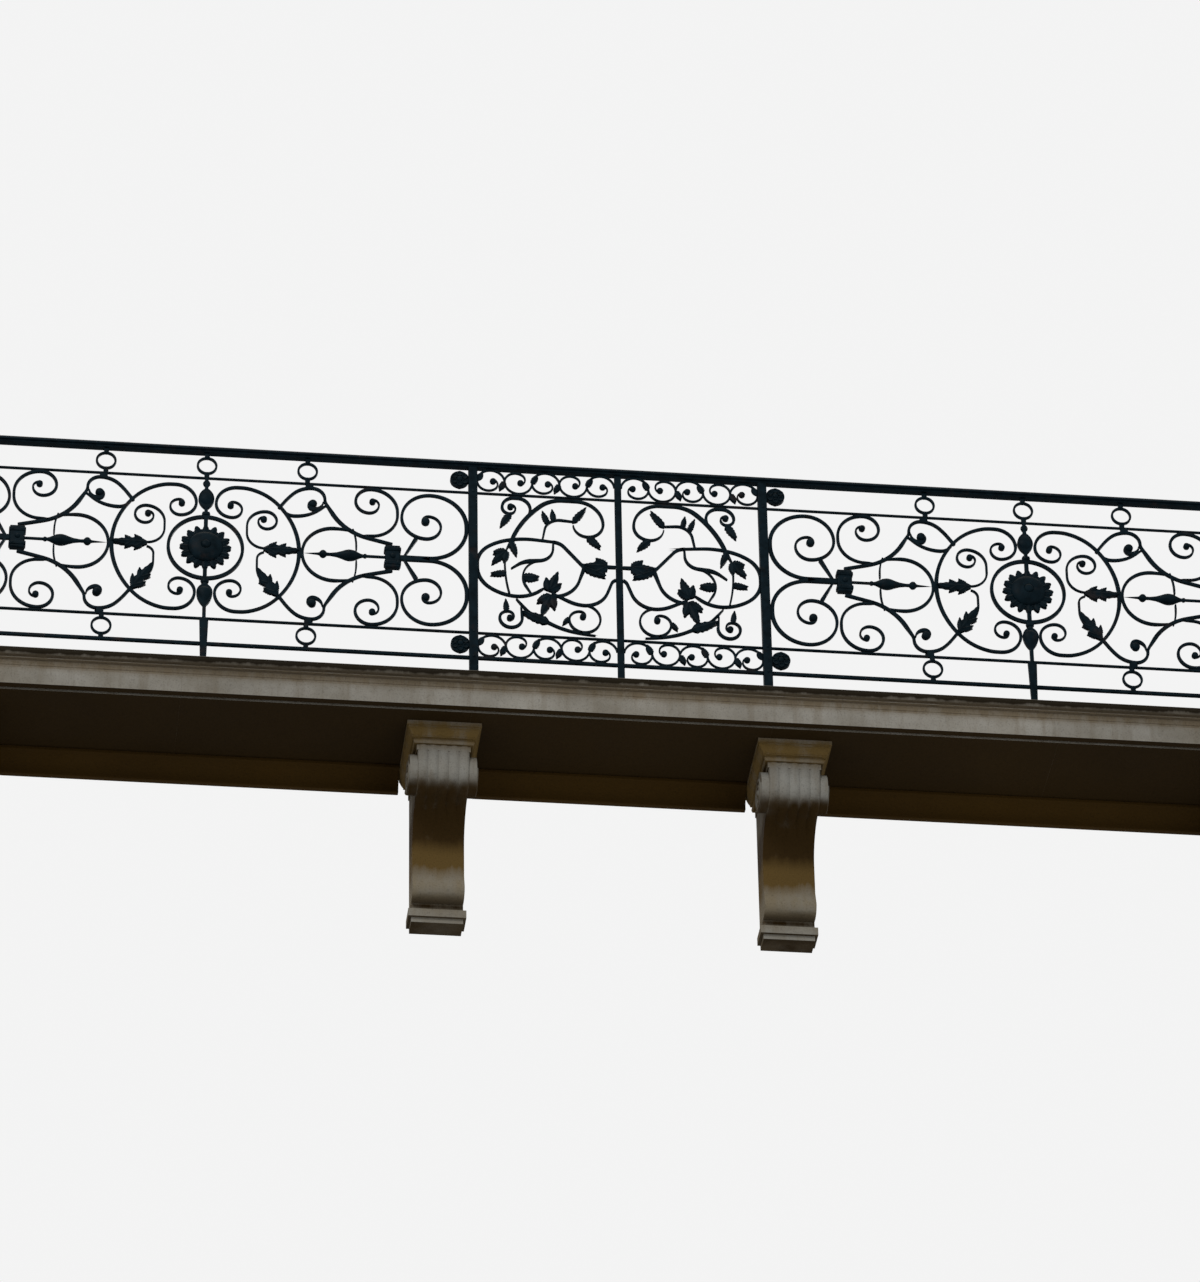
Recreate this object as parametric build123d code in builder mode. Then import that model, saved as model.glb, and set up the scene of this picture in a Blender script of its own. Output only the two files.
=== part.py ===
from build123d import *
from math import atan2, copysign, cos, degrees, radians, sin
import os

# A running balcony: a moulded stone slab on four scrolled consoles, and round its edge an iron
# railing of scrolled bars in three bays. X runs along the wall, the wall's face is Y = 0, the
# balcony stands out to -Y, and the origin is the middle of the slab's flat back.

# Stone: the slab, which runs past the end posts, and the joints between its stones
slab_overhang = 130.0
slab_depth = 555.0
slab_height = 167.0
outer_joint_past_axis = 85.0
inner_joint_past_post = 10.0

# Stone: the slab's moulded edge, from its top down
top_band_height = 9.0
nosing_height = 34.0
nosing_proud = 12.0
quirk_height = 5.0
quirk_depth = 4.0
ogee_depth = 30.0
ogee_bow = 4.0
ogee_foot_height = 7.0
fascia_height = 76.0
fascia_set_back = 20.0
drip_depth = 10.0
drip_width = 14.0
drip_inset = 30.0

# Stone: the consoles
console_past_post = 110.0
console_from_end = 240.0
console_width = 206.0
console_volute_proud = 30.0
console_height = 735.0
cap_set_back = 117.0
cap_height = 112.0
cap_flare = 45.0
cap_lip_height = 19.0
cap_lip_depth = 5.0
cap_ogee_height = 46.0
cap_ogee_bow = 7.0
cap_bead_height = 22.0
cap_bead_radius = 14.0
cap_bead_proud = 13.0
cap_neck_proud = 4.0
roll_below_cap = 66.0
roll_radius = 82.0
throat_set_back = 22.0
throat_height = 60.0
foot_roll_radius = 46.0
foot_roll_proud = 24.0
base_height = 86.0
base_depth = 92.0
base_flare = 12.0
base_band_level = 22.0
base_band_height = 34.0

# Stone: the bed mould that runs under the slab between the consoles
bed_mould_size = 90.0
bed_mould_lip = 16.0
bed_mould_foot = 26.0
bed_mould_hollow = 34.0

# Iron: heights are above the slab's top
railing_set_back = 55.0
post_offset = 590.0
window_panel_length = 2150.0
post_width = 36.0
post_depth = 30.0
wall_post_width = 24.0
post_foot_height = 26.0
post_foot_flare = 9.0
centre_bar_width = 28.0
handrail_low = 1024.0
handrail_height = 31.0
handrail_width = 50.0
handrail_lip_height = 8.0
handrail_lip_width = 32.0
upper_rail_level = 903.0
lower_rail_level = 221.0
thin_rail_height = 7.0
thin_rail_depth = 14.0
bottom_rail_level = 101.0
bottom_rail_height = 14.0
panel_mid_level = 564.0

# Iron: scrolled bars, and the clearance at a curved seat
bar_depth = 14.0
bar_width = 12.0
thick_bar = 17.0
thin_bar = 8.0
bar_tip = 6.0
frieze_depth = 10.0
big_eye = 17.0
small_eye = 13.0
seat_gap = 0.3

# Iron: the collars that bind the long bars, and the spears on them
collar_offset = 750.0
collar_width = 60.0
collar_height = 106.0
collar_depth = 30.0
collar_bevel = 4.0
spear_rod_radius = 6.0
oval_offset = 375.0
loop_lap = 2.0
spear_leaf_offset = 578.0
spear_leaf_radius = 24.0
spear_leaf_length = 56.0
spear_leaf_swell = 0.8
spear_ball_offset = 471.0
spear_ball_radius = 17.0

# Iron: the medallion
ring_radius = 155.0
ring_bar = 13.0
rosette_radius = 100.0
rosette_lobes = 16
rosette_lobe_radius = 13.0
rosette_depth = 12.0
dome_radius = 70.0
dome_shoulder = 42.0
dome_shoulder_height = 21.0
dome_top = 14.0
dome_height = 27.0
stem_width = 16.0

# Iron: the ornaments on the medallion's axis, with heights from its middle
axis_depth = 18.0
neck_width = 14.0
neck_collar_height = 16.0
vase_foot = 186.0
vase_belly = 236.0
vase_top = 288.0
vase_half_width = 32.0
pod_shoulder = 0.8
pod_taper = 0.65
bud_level = 312.0
bud_radius = 14.0
drop_top = 176.0
drop_belly = 214.0
drop_point = 288.0
foot_top_width = 36.0
foot_bottom_width = 24.0
foot_waist_level = 14.0
foot_top_gap = 2.0

# Iron: the friezes between the rails
frieze_ring_radius = 42.0
frieze_ring_bar = 9.0
frieze_ring_spacing = 406.0
upper_frieze_level = 964.0
lower_frieze_level = 163.0
frieze_collar_width = 20.0
frieze_rosette_radius = 38.0
frieze_rosette_seat = 2.0
wave_count = 5
wave_bar = 9.0
wave_tip = 6.0
wave_eye = 13.0
wave_outer_coil = 0.4
wave_inner_coil = 0.25
wave_leaf_length = 46.0
wave_leaf_width = 26.0
wave_leaf_lean = 28.0

# Iron: leaves, and the ties that bind a crown to its rail
leaf_belly = 0.42
spray_spread = 36.0
spray_side = 0.62
thorn_places = (0.12, 0.44)
thorn_spread = 40.0
thorn_length = 0.36
thorn_width = 0.65
tie_offset = 414.0
tie_width = 32.0
tie_height = 16.0

# Iron: the outer motif, which the returns repeat, and how far a volute's back is filed flat
volute_radius = 150.0
volute_trim = 0.5
small_volute_reach = 597.0

# Worked out from the sizes above
slab_top = slab_height / 2
slab_low = -slab_height / 2
railing_y = -(slab_depth - railing_set_back - fascia_set_back)
panel_mid = slab_top + panel_mid_level
end_post_offset = post_offset + window_panel_length
panel_axis_offset = post_offset + window_panel_length / 2
slab_half = end_post_offset + slab_overhang
inner_joint = post_offset + inner_joint_past_post
outer_joint = panel_axis_offset + outer_joint_past_axis
inner_console = post_offset + console_past_post
outer_console = slab_half - console_from_end
panel_half = window_panel_length / 2 - post_width / 2
pier_half = post_offset - post_width / 2
upper_rail_low = slab_top + upper_rail_level - thin_rail_height / 2
upper_rail_high = slab_top + upper_rail_level + thin_rail_height / 2
lower_rail_low = slab_top + lower_rail_level - thin_rail_height / 2
lower_rail_high = slab_top + lower_rail_level + thin_rail_height / 2
bottom_rail_high = slab_top + bottom_rail_level + bottom_rail_height / 2
handrail_bottom = slab_top + handrail_low
frieze_rosette_offset = post_width / 2 + frieze_rosette_radius - frieze_rosette_seat
loop_offset = oval_offset + (thick_bar + bar_width) / 2 - loop_lap
spear_tip_offset = loop_offset + bar_width / 2 + seat_gap
panel_upper = upper_rail_low - panel_mid
panel_lower = lower_rail_high - panel_mid
return_half = (-railing_y - post_depth / 2 - wall_post_width) / 2
return_middle = -wall_post_width - return_half


def axis_plane(offset, level=panel_mid, y=railing_y):
    """The railing's plane with its origin on an upright axis, seen from the front."""
    return Plane(origin=(offset, y, level), x_dir=(1, 0, 0), z_dir=(0, -1, 0))


def side_plane(offset):
    """A return's plane with its origin half way along it, x running outwards from the wall."""
    return Plane(origin=(offset, return_middle, panel_mid), x_dir=(0, -1, 0), z_dir=(-1, 0, 0))


def section_plane(offset):
    """An upright plane across the wall, with x outwards and y up. It faces -X."""
    return Plane(origin=(offset, 0, 0), x_dir=(0, -1, 0), z_dir=(-1, 0, 0))


os.makedirs("parts", exist_ok=True)


def save(piece, name):
    piece.label = name
    export_step(piece, "parts/" + name + ".step")


def scroll(start, heading, runs, widths, eye=0.0):
    """The face of a tapering bar that leaves start at a heading in degrees and follows runs of
    (radius, turn), or (length, 0) where it is straight. Widths are those at the ends of the
    runs, and an eye is the disc that the last run curls round."""
    x, z = start
    angle = heading
    stations = [(x, z, angle, widths[0])]
    for index, (size, turn) in enumerate(runs):
        wide = widths[index + 1]
        middle_wide = (widths[index] + wide) / 2
        if turn == 0:
            x += size * cos(radians(angle))
            z += size * sin(radians(angle))
            stations.append(None)
        else:
            side = copysign(size, turn)
            centre_x = x - side * sin(radians(angle))
            centre_z = z + side * cos(radians(angle))
            half = angle + turn / 2
            angle += turn
            stations.append(
                (
                    centre_x + side * sin(radians(half)),
                    centre_z - side * cos(radians(half)),
                    half,
                    middle_wide,
                )
            )
            x = centre_x + side * sin(radians(angle))
            z = centre_z - side * cos(radians(angle))
        stations.append((x, z, angle, wide))

    def edge_point(station, hand):
        px, pz, direction, width = station
        return (
            px - hand * width / 2 * sin(radians(direction)),
            pz + hand * width / 2 * cos(radians(direction)),
        )

    with BuildSketch() as face:
        with BuildLine():
            for hand in (1, -1):
                for index in range(0, len(stations) - 2, 2):
                    first, middle, last = stations[index : index + 3]
                    begin = edge_point(first, hand)
                    end = edge_point(last, hand)
                    if middle is None:
                        Line(begin, end)
                    else:
                        ThreePointArc(begin, edge_point(middle, hand), end)
            Line(edge_point(stations[0], 1), edge_point(stations[0], -1))
            Line(edge_point(stations[-1], 1), edge_point(stations[-1], -1))
        make_face()
        if eye:
            lean = copysign(eye - widths[-1] / 2, runs[-1][1])
            with Locations((x - lean * sin(radians(angle)), z + lean * cos(radians(angle)))):
                Circle(eye)
    return face.sketch


# The scrolled bars of a window panel's quarter, from the medallion's axis outwards
def big_volute(reach):
    """The bar that leaves the collar and turns back in a volute whose back touches reach."""
    outer = reach + volute_trim - thick_bar / 2
    straight = outer - volute_radius - collar_offset
    return scroll(
        (collar_offset, bar_width / 2),
        0,
        [
            (straight, 0),
            (volute_radius, 90),
            (12, 0),
            (146, 90),
            (116, 90),
            (98, 90),
            (60, 90),
            (50, 90),
            (26, 90),
        ],
        [bar_width, bar_width, thick_bar, thick_bar, bar_width, bar_width, bar_width, 10, 9, bar_tip],
        big_eye,
    )


def small_volute():
    return scroll(
        (640, 100),
        0,
        [(24, 0), (106, 90), (17, 0), (106, 90), (63, 90), (54, 90), (40, 90), (26, 90)],
        [bar_tip, 9, bar_width, bar_width, bar_width, bar_width, 10, 8, bar_tip],
        small_eye,
    )


def long_bar():
    return scroll(
        (collar_offset, 64),
        166,
        [(100, 0), (230, -46), (52, 0), (50, -30), (52, 90), (105, 45), (300, 10), (45, 0)],
        [bar_width, bar_width, thick_bar, bar_width, bar_width, bar_width, bar_width, bar_width, bar_width],
    )


def collar_tie():
    return scroll((797, 8), 62, [(104, 0)], [thin_bar, thick_bar])


def curl_bar():
    return scroll((470, 252), -92, [(38, -88), (20, -150)], [bar_tip, thick_bar, 9], big_eye)


def almond_bar():
    return scroll(
        (298, 212),
        -48,
        [(22, 0), (55, 48), (160, 40), (40, 0)],
        [bar_tip, 9, bar_width, 9, bar_tip],
    )


def oval_bar():
    return scroll(
        (oval_offset, 0),
        90,
        [(345, 42), (220, 34), (150, 14), (16, 0), (84, 90), (64, 90), (40, 90), (36, 90), (20, 80)],
        [thick_bar, bar_width, bar_width, bar_width, bar_width, bar_width, 10, 9, 8, bar_tip],
        small_eye,
    )


def spear_loop():
    return scroll((loop_offset, 0), 90, [(127, -90), (300, -12)], [bar_width, bar_width, bar_tip])


def leaf_hook():
    return scroll((590, 128), -70, [(240, -20), (30, 0)], [bar_tip, thin_bar, bar_tip])


def inner_scroll():
    return scroll(
        (235, 12),
        180,
        [(70, -90), (34, 0), (75, -90), (44, -90), (40, -90), (34, -90), (22, -90)],
        [bar_tip, 9, 9, 10, 10, 9, 8, bar_tip],
        small_eye,
    )


def lower_stem():
    return scroll(
        (235, -8),
        190,
        [(34, 80), (40, 0), (110, 40), (30, 0)],
        [bar_tip, 9, 9, 9, bar_tip],
    )


# The scrolled bars of the middle panel's right half, from its centre bar outwards
def middle_stem():
    return scroll((centre_bar_width / 2, 10), 0, [(136, 0)], [bar_width, thick_bar])


def crown_bar():
    return scroll(
        (184, 205),
        -95,
        [(58, -85), (64, -90), (108, -90), (60, 0), (130, -42), (430, -25), (90, 0)],
        [bar_tip, 10, bar_width, bar_width, bar_width, thick_bar, thick_bar, bar_tip],
    )


def corner_volute():
    return scroll(
        (362, 244),
        100,
        [(20, 0), (52, -100), (14, 0), (48, -90), (30, -90), (24, -90), (20, -90)],
        [bar_width, bar_width, bar_width, bar_width, bar_width, 9, 8, bar_tip],
        small_eye,
    )


def crown_stem():
    return scroll((176, 222), 5, [(58, 0), (62, -85), (58, 0)], [bar_tip, 9, 10, thin_bar])


def almond_left():
    return scroll(
        (268, 118),
        180,
        [(60, 50), (115, 0), (20, 58), (60, 0), (115, 72)],
        [bar_width, bar_width, bar_width, thick_bar, bar_width, bar_width],
    )


def almond_right():
    return scroll(
        (262, 118),
        5,
        [(75, 0), (350, -20), (230, -18), (112, -57), (12, 0), (120, -55), (200, -28), (150, -45), (28, 0)],
        [thin_bar, 10, bar_width, bar_width, thick_bar, thick_bar, bar_width, bar_width, bar_width, bar_tip],
    )


def almond_stem():
    return scroll(
        (266, 114),
        -88,
        [(32, 0), (60, 80), (45, 0), (100, -30), (34, 0)],
        [thin_bar, 10, bar_width, thick_bar, 10, bar_tip],
    )


def almond_crescent():
    return scroll((334, 20), -20, [(85, -100), (48, 0)], [bar_tip, 10, bar_tip])


def almond_tie():
    return scroll((460, 52), -85, [(600, -19)], [thin_bar, thin_bar])


def cradle_bar():
    return scroll(
        (centre_bar_width / 2, -52),
        -20,
        [(30, -50), (50, 0), (100, 75), (150, 22), (76, 0)],
        [bar_width, bar_width, bar_width, bar_width, bar_width, thin_bar],
    )


def cradle_loop():
    return scroll(
        (140, -182),
        185,
        [(66, 170), (60, 90), (42, 100), (22, 100)],
        [thin_bar, 10, 10, 8, bar_tip],
        small_eye,
    )


def low_stem():
    return scroll(
        (100, -327),
        3,
        [(500, 14), (300, 10), (80, 0), (120, 25), (62, 0)],
        [bar_tip, bar_width, bar_width, thick_bar, bar_width, bar_tip],
    )


def low_volute():
    return scroll(
        (399, -204),
        -95,
        [(53, 0), (46, 100), (44, 90), (32, 90), (24, 90), (18, 70)],
        [bar_tip, bar_width, bar_width, bar_width, 9, 8, bar_tip],
        small_eye,
    )


# End of the scrolled bars


def leaf(base, heading, length, width):
    """The face of a pointed leaf that grows from base at a heading in degrees."""
    along = Vector(cos(radians(heading)), sin(radians(heading)))
    across = Vector(-sin(radians(heading)), cos(radians(heading)))
    root = Vector(*base)
    tip = root + along * length
    belly = root + along * (length * leaf_belly)
    with BuildSketch() as face:
        with BuildLine():
            ThreePointArc(root, belly + across * (width / 2), tip)
            ThreePointArc(tip, belly - across * (width / 2), root)
        make_face()
    return face.sketch


def thorn_leaf(base, heading, length, width):
    """A long leaf with pairs of pointed lobes along its rib."""
    along = Vector(cos(radians(heading)), sin(radians(heading)))
    leaves = [leaf(base, heading, length, width)]
    for share in thorn_places:
        root = Vector(*base) + along * (length * share)
        reach = length * thorn_length * (1 - share / 2)
        for hand in (1, -1):
            turned = heading + hand * thorn_spread
            leaves.append(leaf((root.X, root.Y), turned, reach, width * thorn_width))
    return leaves


def spray(base, heading, length, width):
    """Three leaves from one root."""
    leaves = [leaf(base, heading, length, width)]
    leaves += [leaf(base, heading + hand * spray_spread, length * spray_side, width) for hand in (1, -1)]
    return leaves


def window_half():
    """The right half of a window panel's scrolled bars, about the medallion's axis."""
    with BuildSketch() as half:
        add(big_volute(panel_half))
        for bar in (small_volute, collar_tie, long_bar, curl_bar, oval_bar, spear_loop, leaf_hook):
            add(bar())
        mirror(about=Plane.XZ)
        add(almond_bar())
        add(inner_scroll())
        add(lower_stem())
        for face in thorn_leaf((232, 8), 0, 138, 35) + thorn_leaf((293, -217), 124, 150, 35):
            add(face)
        with Locations((tie_offset, panel_upper), (tie_offset, panel_lower)):
            Rectangle(tie_width, 2 * tie_height)
        with Locations((panel_half / 2, (panel_upper + panel_lower) / 2)):
            Rectangle(panel_half, panel_upper - panel_lower, mode=Mode.INTERSECT)
        Circle(ring_radius + seat_gap, mode=Mode.SUBTRACT)
        Rectangle(2 * (vase_half_width + seat_gap), 2 * panel_half, mode=Mode.SUBTRACT)
        with Locations((collar_offset, 0)):
            Rectangle(collar_width, collar_height, mode=Mode.SUBTRACT)
        with Locations((spear_leaf_offset, 0)):
            Rectangle(2 * spear_leaf_length, 2 * (spear_leaf_radius + seat_gap), mode=Mode.SUBTRACT)
    return half.sketch


def pier_half_panel():
    """The right half of the middle panel's scrolled bars, about its centre bar."""
    with BuildSketch() as half:
        for bar in (
            middle_stem,
            crown_bar,
            corner_volute,
            crown_stem,
            almond_left,
            almond_right,
            almond_stem,
            almond_crescent,
            almond_tie,
            cradle_bar,
            cradle_loop,
            low_stem,
            low_volute,
        ):
            add(bar())
        for face in spray((284, -120), 112, 92, 34) + spray((278, -144), -68, 106, 34):
            add(face)
        for face in spray((458, 60), -48, 84, 30) + spray((50, 10), 0, 90, 34):
            add(face)
        for face in (
            leaf((140, 0), 205, 92, 34),
            leaf((186, 220), 128, 88, 26),
            leaf((128, 152), -136, 74, 28),
            leaf((262, 222), 80, 50, 22),
            leaf((286, 206), 66, 60, 22),
            leaf((438, 248), -58, 78, 28),
            leaf((440, 114), -110, 76, 26),
            leaf((390, -62), 180, 64, 36),
            leaf((457, -45), -10, 64, 24),
            leaf((204, -248), -48, 42, 18),
            leaf((456, -232), 84, 54, 22),
            leaf((288, -275), 22, 112, 36),
        ):
            add(face)
        with Locations((pier_half / 2 + centre_bar_width / 4, (panel_upper + panel_lower) / 2)):
            Rectangle(pier_half - centre_bar_width / 2, panel_upper - panel_lower, mode=Mode.INTERSECT)
    return half.sketch


def extrude_bars(face, plane, name):
    with BuildPart() as bars:
        with BuildSketch(plane):
            add(face)
        extrude(amount=bar_depth / 2, both=True)
    save(bars.part, name)


def upright(offset, y, width, depth, flare=0.0):
    """A square post from the slab to the handrail, with a wider foot where a flare is given."""
    with BuildPart() as post:
        with BuildSketch(Plane.XY.offset(slab_top)):
            with Locations((offset, y)):
                Rectangle(width, depth)
        extrude(amount=handrail_low)
        if flare:
            with BuildSketch(Plane.XY.offset(slab_top)):
                with Locations((offset, y)):
                    Rectangle(width + 2 * flare, depth + 2 * flare)
            extrude(amount=post_foot_height - flare)
            with BuildSketch(Plane.XY.offset(slab_top + post_foot_height - flare)):
                with Locations((offset, y)):
                    Rectangle(width + 2 * flare, depth + 2 * flare)
            with BuildSketch(Plane.XY.offset(slab_top + post_foot_height)):
                with Locations((offset, y)):
                    Rectangle(width, depth)
            loft()
    return post.part


# The slab: a front section and an end section that meet in mitred corners
def slab_section(reach, back):
    """The slab's moulded section, its nose at reach and its cut end at back."""
    band = reach - nosing_proud
    quirk = band - quirk_depth
    ogee = reach - ogee_depth
    fascia = reach - fascia_set_back
    nosing_high = slab_top - top_band_height
    nosing_low = nosing_high - nosing_height
    quirk_low = nosing_low - quirk_height
    fascia_high = slab_low + fascia_height
    ogee_low = fascia_high + ogee_foot_height
    with BuildSketch() as section:
        with BuildLine():
            Line((back, slab_low), (back, slab_top))
            Line((back, slab_top), (band, slab_top))
            Line((band, slab_top), (band, nosing_high))
            ThreePointArc((band, nosing_high), (reach, nosing_high - nosing_height / 2), (band, nosing_low))
            Line((band, nosing_low), (quirk, nosing_low))
            Line((quirk, nosing_low), (quirk, quirk_low))
            ThreePointArc((quirk, quirk_low), (ogee + ogee_bow, quirk_low - 2 * ogee_bow), (ogee, ogee_low))
            Line((ogee, ogee_low), (ogee, fascia_high))
            Line((ogee, fascia_high), (fascia, fascia_high))
            Line((fascia, fascia_high), (fascia, slab_low))
            Line((fascia, slab_low), (back, slab_low))
        make_face()
    return section.sketch


with BuildPart() as slab:
    with BuildSketch(section_plane(0)):
        add(slab_section(slab_depth, 0))
    extrude(amount=slab_half, both=True)
    with BuildSketch(Plane.XZ):
        add(slab_section(slab_half, 0))
        mirror(about=Plane.YZ)
    extrude(amount=slab_depth, mode=Mode.INTERSECT)
    groove_reach = slab_depth - fascia_set_back - drip_inset
    groove_half = slab_half - fascia_set_back - drip_inset
    groove_end = groove_half - drip_width / 2
    with BuildSketch(Plane.XY.offset(slab_low)):
        with Locations((0, -groove_reach + drip_width / 2)):
            Rectangle(2 * groove_half, drip_width)
        with Locations((groove_end, -groove_reach / 2), (-groove_end, -groove_reach / 2)):
            Rectangle(drip_width, groove_reach)
    extrude(amount=drip_depth, mode=Mode.SUBTRACT)

stone_edges = [None, -outer_joint, -inner_joint, inner_joint, outer_joint, None]
for index in range(len(stone_edges) - 1):
    low_edge, high_edge = stone_edges[index : index + 2]
    with BuildPart() as stone:
        add(slab.part)
        if low_edge is not None:
            split(bisect_by=Plane.YZ.offset(low_edge), keep=Keep.TOP)
        if high_edge is not None:
            split(bisect_by=Plane.YZ.offset(high_edge), keep=Keep.BOTTOM)
    save(stone.part, f"slab_stone_{index + 1}")


# The consoles: a moulded cap on a body whose side is an S with a roll at its top and its foot
def cap_section(reach, back, body_reach):
    """A cap's section, from the slab's underside down, its lip at reach."""
    lip_low = slab_low - cap_lip_height
    ogee_low = lip_low - cap_ogee_height
    bead_low = ogee_low - cap_bead_height
    lip = reach - cap_lip_depth
    bead = body_reach + cap_bead_proud
    neck = body_reach + cap_neck_proud
    with BuildSketch() as section:
        with BuildLine():
            Line((back, slab_low), (reach, slab_low))
            Line((reach, slab_low), (reach, lip_low))
            Line((reach, lip_low), (lip, lip_low))
            bow = (lip - cap_ogee_bow, lip_low - cap_ogee_height / 2)
            ThreePointArc((lip, lip_low), bow, (bead, ogee_low))
            RadiusArc((bead, ogee_low), (bead, bead_low), cap_bead_radius)
            Line((bead, bead_low), (neck, bead_low))
            Line((neck, bead_low), (neck, cap_low))
            Line((neck, cap_low), (back, cap_low))
            Line((back, cap_low), (back, slab_low))
        make_face()
    return section.sketch


cap_low = slab_low - cap_height
cap_reach = slab_depth - fascia_set_back - cap_set_back
console_reach = cap_reach - cap_flare
roll_level = cap_low - roll_below_cap
roll_low = roll_level - roll_radius
roll_centre = console_reach - roll_radius
console_low = slab_low - console_height
base_top = console_low + base_height
foot_roll_level = base_top + foot_roll_radius
foot_reach = base_depth + foot_roll_radius + foot_roll_proud
foot_roll_centre = foot_reach - foot_roll_radius
throat_reach = foot_reach - throat_set_back
throat_radius = roll_centre - throat_reach
throat_top = roll_low - throat_radius
throat_low = foot_roll_level + throat_height


def console(offset):
    with BuildPart() as body:
        with BuildSketch(section_plane(offset)):
            with BuildLine():
                Line((0, cap_low), (console_reach, cap_low))
                Line((console_reach, cap_low), (console_reach, roll_level))
                RadiusArc((console_reach, roll_level), (roll_centre, roll_low), roll_radius)
                RadiusArc((roll_centre, roll_low), (throat_reach, throat_top), -throat_radius)
                Line((throat_reach, throat_top), (throat_reach, throat_low))
                Line((throat_reach, throat_low), (foot_reach, foot_roll_level))
                RadiusArc((foot_reach, foot_roll_level), (foot_roll_centre, base_top), foot_roll_radius)
                Line((foot_roll_centre, base_top), (0, base_top))
                Line((0, base_top), (0, cap_low))
            make_face()
        extrude(amount=console_width / 2, both=True)
        with BuildSketch(section_plane(offset)):
            with Locations((roll_centre, roll_level)):
                Circle(roll_radius)
        extrude(amount=console_width / 2 + console_volute_proud, both=True)
        with BuildSketch(Plane.XY.offset(console_low)):
            with Locations((offset, -base_depth / 2)):
                Rectangle(console_width, base_depth)
        extrude(amount=base_height)
        with BuildSketch(Plane.XY.offset(console_low + base_band_level)):
            with Locations((offset, -(base_depth + base_flare) / 2)):
                Rectangle(console_width + 2 * base_flare, base_depth + base_flare)
        extrude(amount=base_band_height)
    with BuildPart() as cap:
        with BuildSketch(section_plane(offset)):
            add(cap_section(cap_reach, 0, console_reach))
        extrude(amount=console_width, both=True)
        with BuildSketch(axis_plane(offset, 0, 0)):
            add(cap_section(console_width / 2 + cap_flare, 0, console_width / 2))
            mirror(about=Plane.YZ)
        extrude(amount=cap_reach, mode=Mode.INTERSECT)
    with BuildPart() as whole:
        add(body.part)
        add(cap.part)
    return whole.part


console_places = [-outer_console, -inner_console, inner_console, outer_console]
for index, offset in enumerate(console_places):
    save(console(offset), f"console_{index + 1}")

# The bed mould under the slab, in runs between the consoles' caps
cap_half = console_width / 2 + cap_flare
mould_lip_low = slab_low - bed_mould_lip
mould_low = slab_low - bed_mould_size
mould_foot_high = mould_low + bed_mould_lip
with BuildPart() as bed_mould:
    for left, right in zip(console_places[:-1], console_places[1:]):
        with BuildSketch(section_plane(right - cap_half)):
            with BuildLine():
                Line((0, slab_low), (bed_mould_size, slab_low))
                Line((bed_mould_size, slab_low), (bed_mould_size, mould_lip_low))
                ThreePointArc(
                    (bed_mould_size, mould_lip_low),
                    (bed_mould_size / 2, slab_low - bed_mould_hollow),
                    (bed_mould_foot, mould_foot_high),
                )
                Line((bed_mould_foot, mould_foot_high), (bed_mould_foot, mould_low))
                Line((bed_mould_foot, mould_low), (0, mould_low))
                Line((0, mould_low), (0, slab_low))
            make_face()
        extrude(amount=right - left - 2 * cap_half)
save(bed_mould.part, "bed_mould")


# The handrail: one moulded section, mitred at the corners
def handrail_section():
    lip = handrail_lip_width / 2
    half = handrail_width / 2
    with BuildSketch() as section:
        with BuildLine():
            Line((-lip, 0), (lip, 0))
            Line((lip, 0), (lip, handrail_lip_height))
            Line((lip, handrail_lip_height), (half, handrail_lip_height))
            ThreePointArc((half, handrail_lip_height), (0, handrail_height), (-half, handrail_lip_height))
            Line((-half, handrail_lip_height), (-lip, handrail_lip_height))
            Line((-lip, handrail_lip_height), (-lip, 0))
        make_face()
    return section.sketch


handrail_reach = end_post_offset + handrail_width / 2
left_mitre = Plane(origin=(-end_post_offset, railing_y, 0), x_dir=(0, 0, 1), z_dir=(1, -1, 0))
right_mitre = Plane(origin=(end_post_offset, railing_y, 0), x_dir=(0, 0, 1), z_dir=(-1, -1, 0))
front_end = Plane(origin=(handrail_reach, railing_y, handrail_bottom), x_dir=(0, -1, 0), z_dir=(-1, 0, 0))
with BuildPart() as front_handrail:
    with BuildSketch(front_end):
        add(handrail_section())
    extrude(amount=2 * handrail_reach)
    split(bisect_by=left_mitre, keep=Keep.TOP)
    split(bisect_by=right_mitre, keep=Keep.TOP)
save(front_handrail.part, "handrail_front")
for hand, mitre, name in ((-1, left_mitre, "handrail_left"), (1, right_mitre, "handrail_right")):
    with BuildPart() as side_handrail:
        with BuildSketch(axis_plane(hand * end_post_offset, handrail_bottom, 0)):
            add(handrail_section())
        extrude(amount=handrail_width / 2 - railing_y)
        split(bisect_by=mitre, keep=Keep.BOTTOM)
    save(side_handrail.part, name)

# Posts
for hand, side in ((-1, "left"), (1, "right")):
    for offset, name in ((end_post_offset, "end_post"), (post_offset, "pier_post")):
        post = upright(hand * offset, railing_y, post_width, post_depth, post_foot_flare)
        save(post, f"{name}_{side}")
    post = upright(hand * end_post_offset, -wall_post_width / 2, post_depth, wall_post_width)
    save(post, f"wall_post_{side}")
centre_bar = upright(0, railing_y, centre_bar_width, post_depth / 2)
save(centre_bar, "pier_centre_bar")


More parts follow.
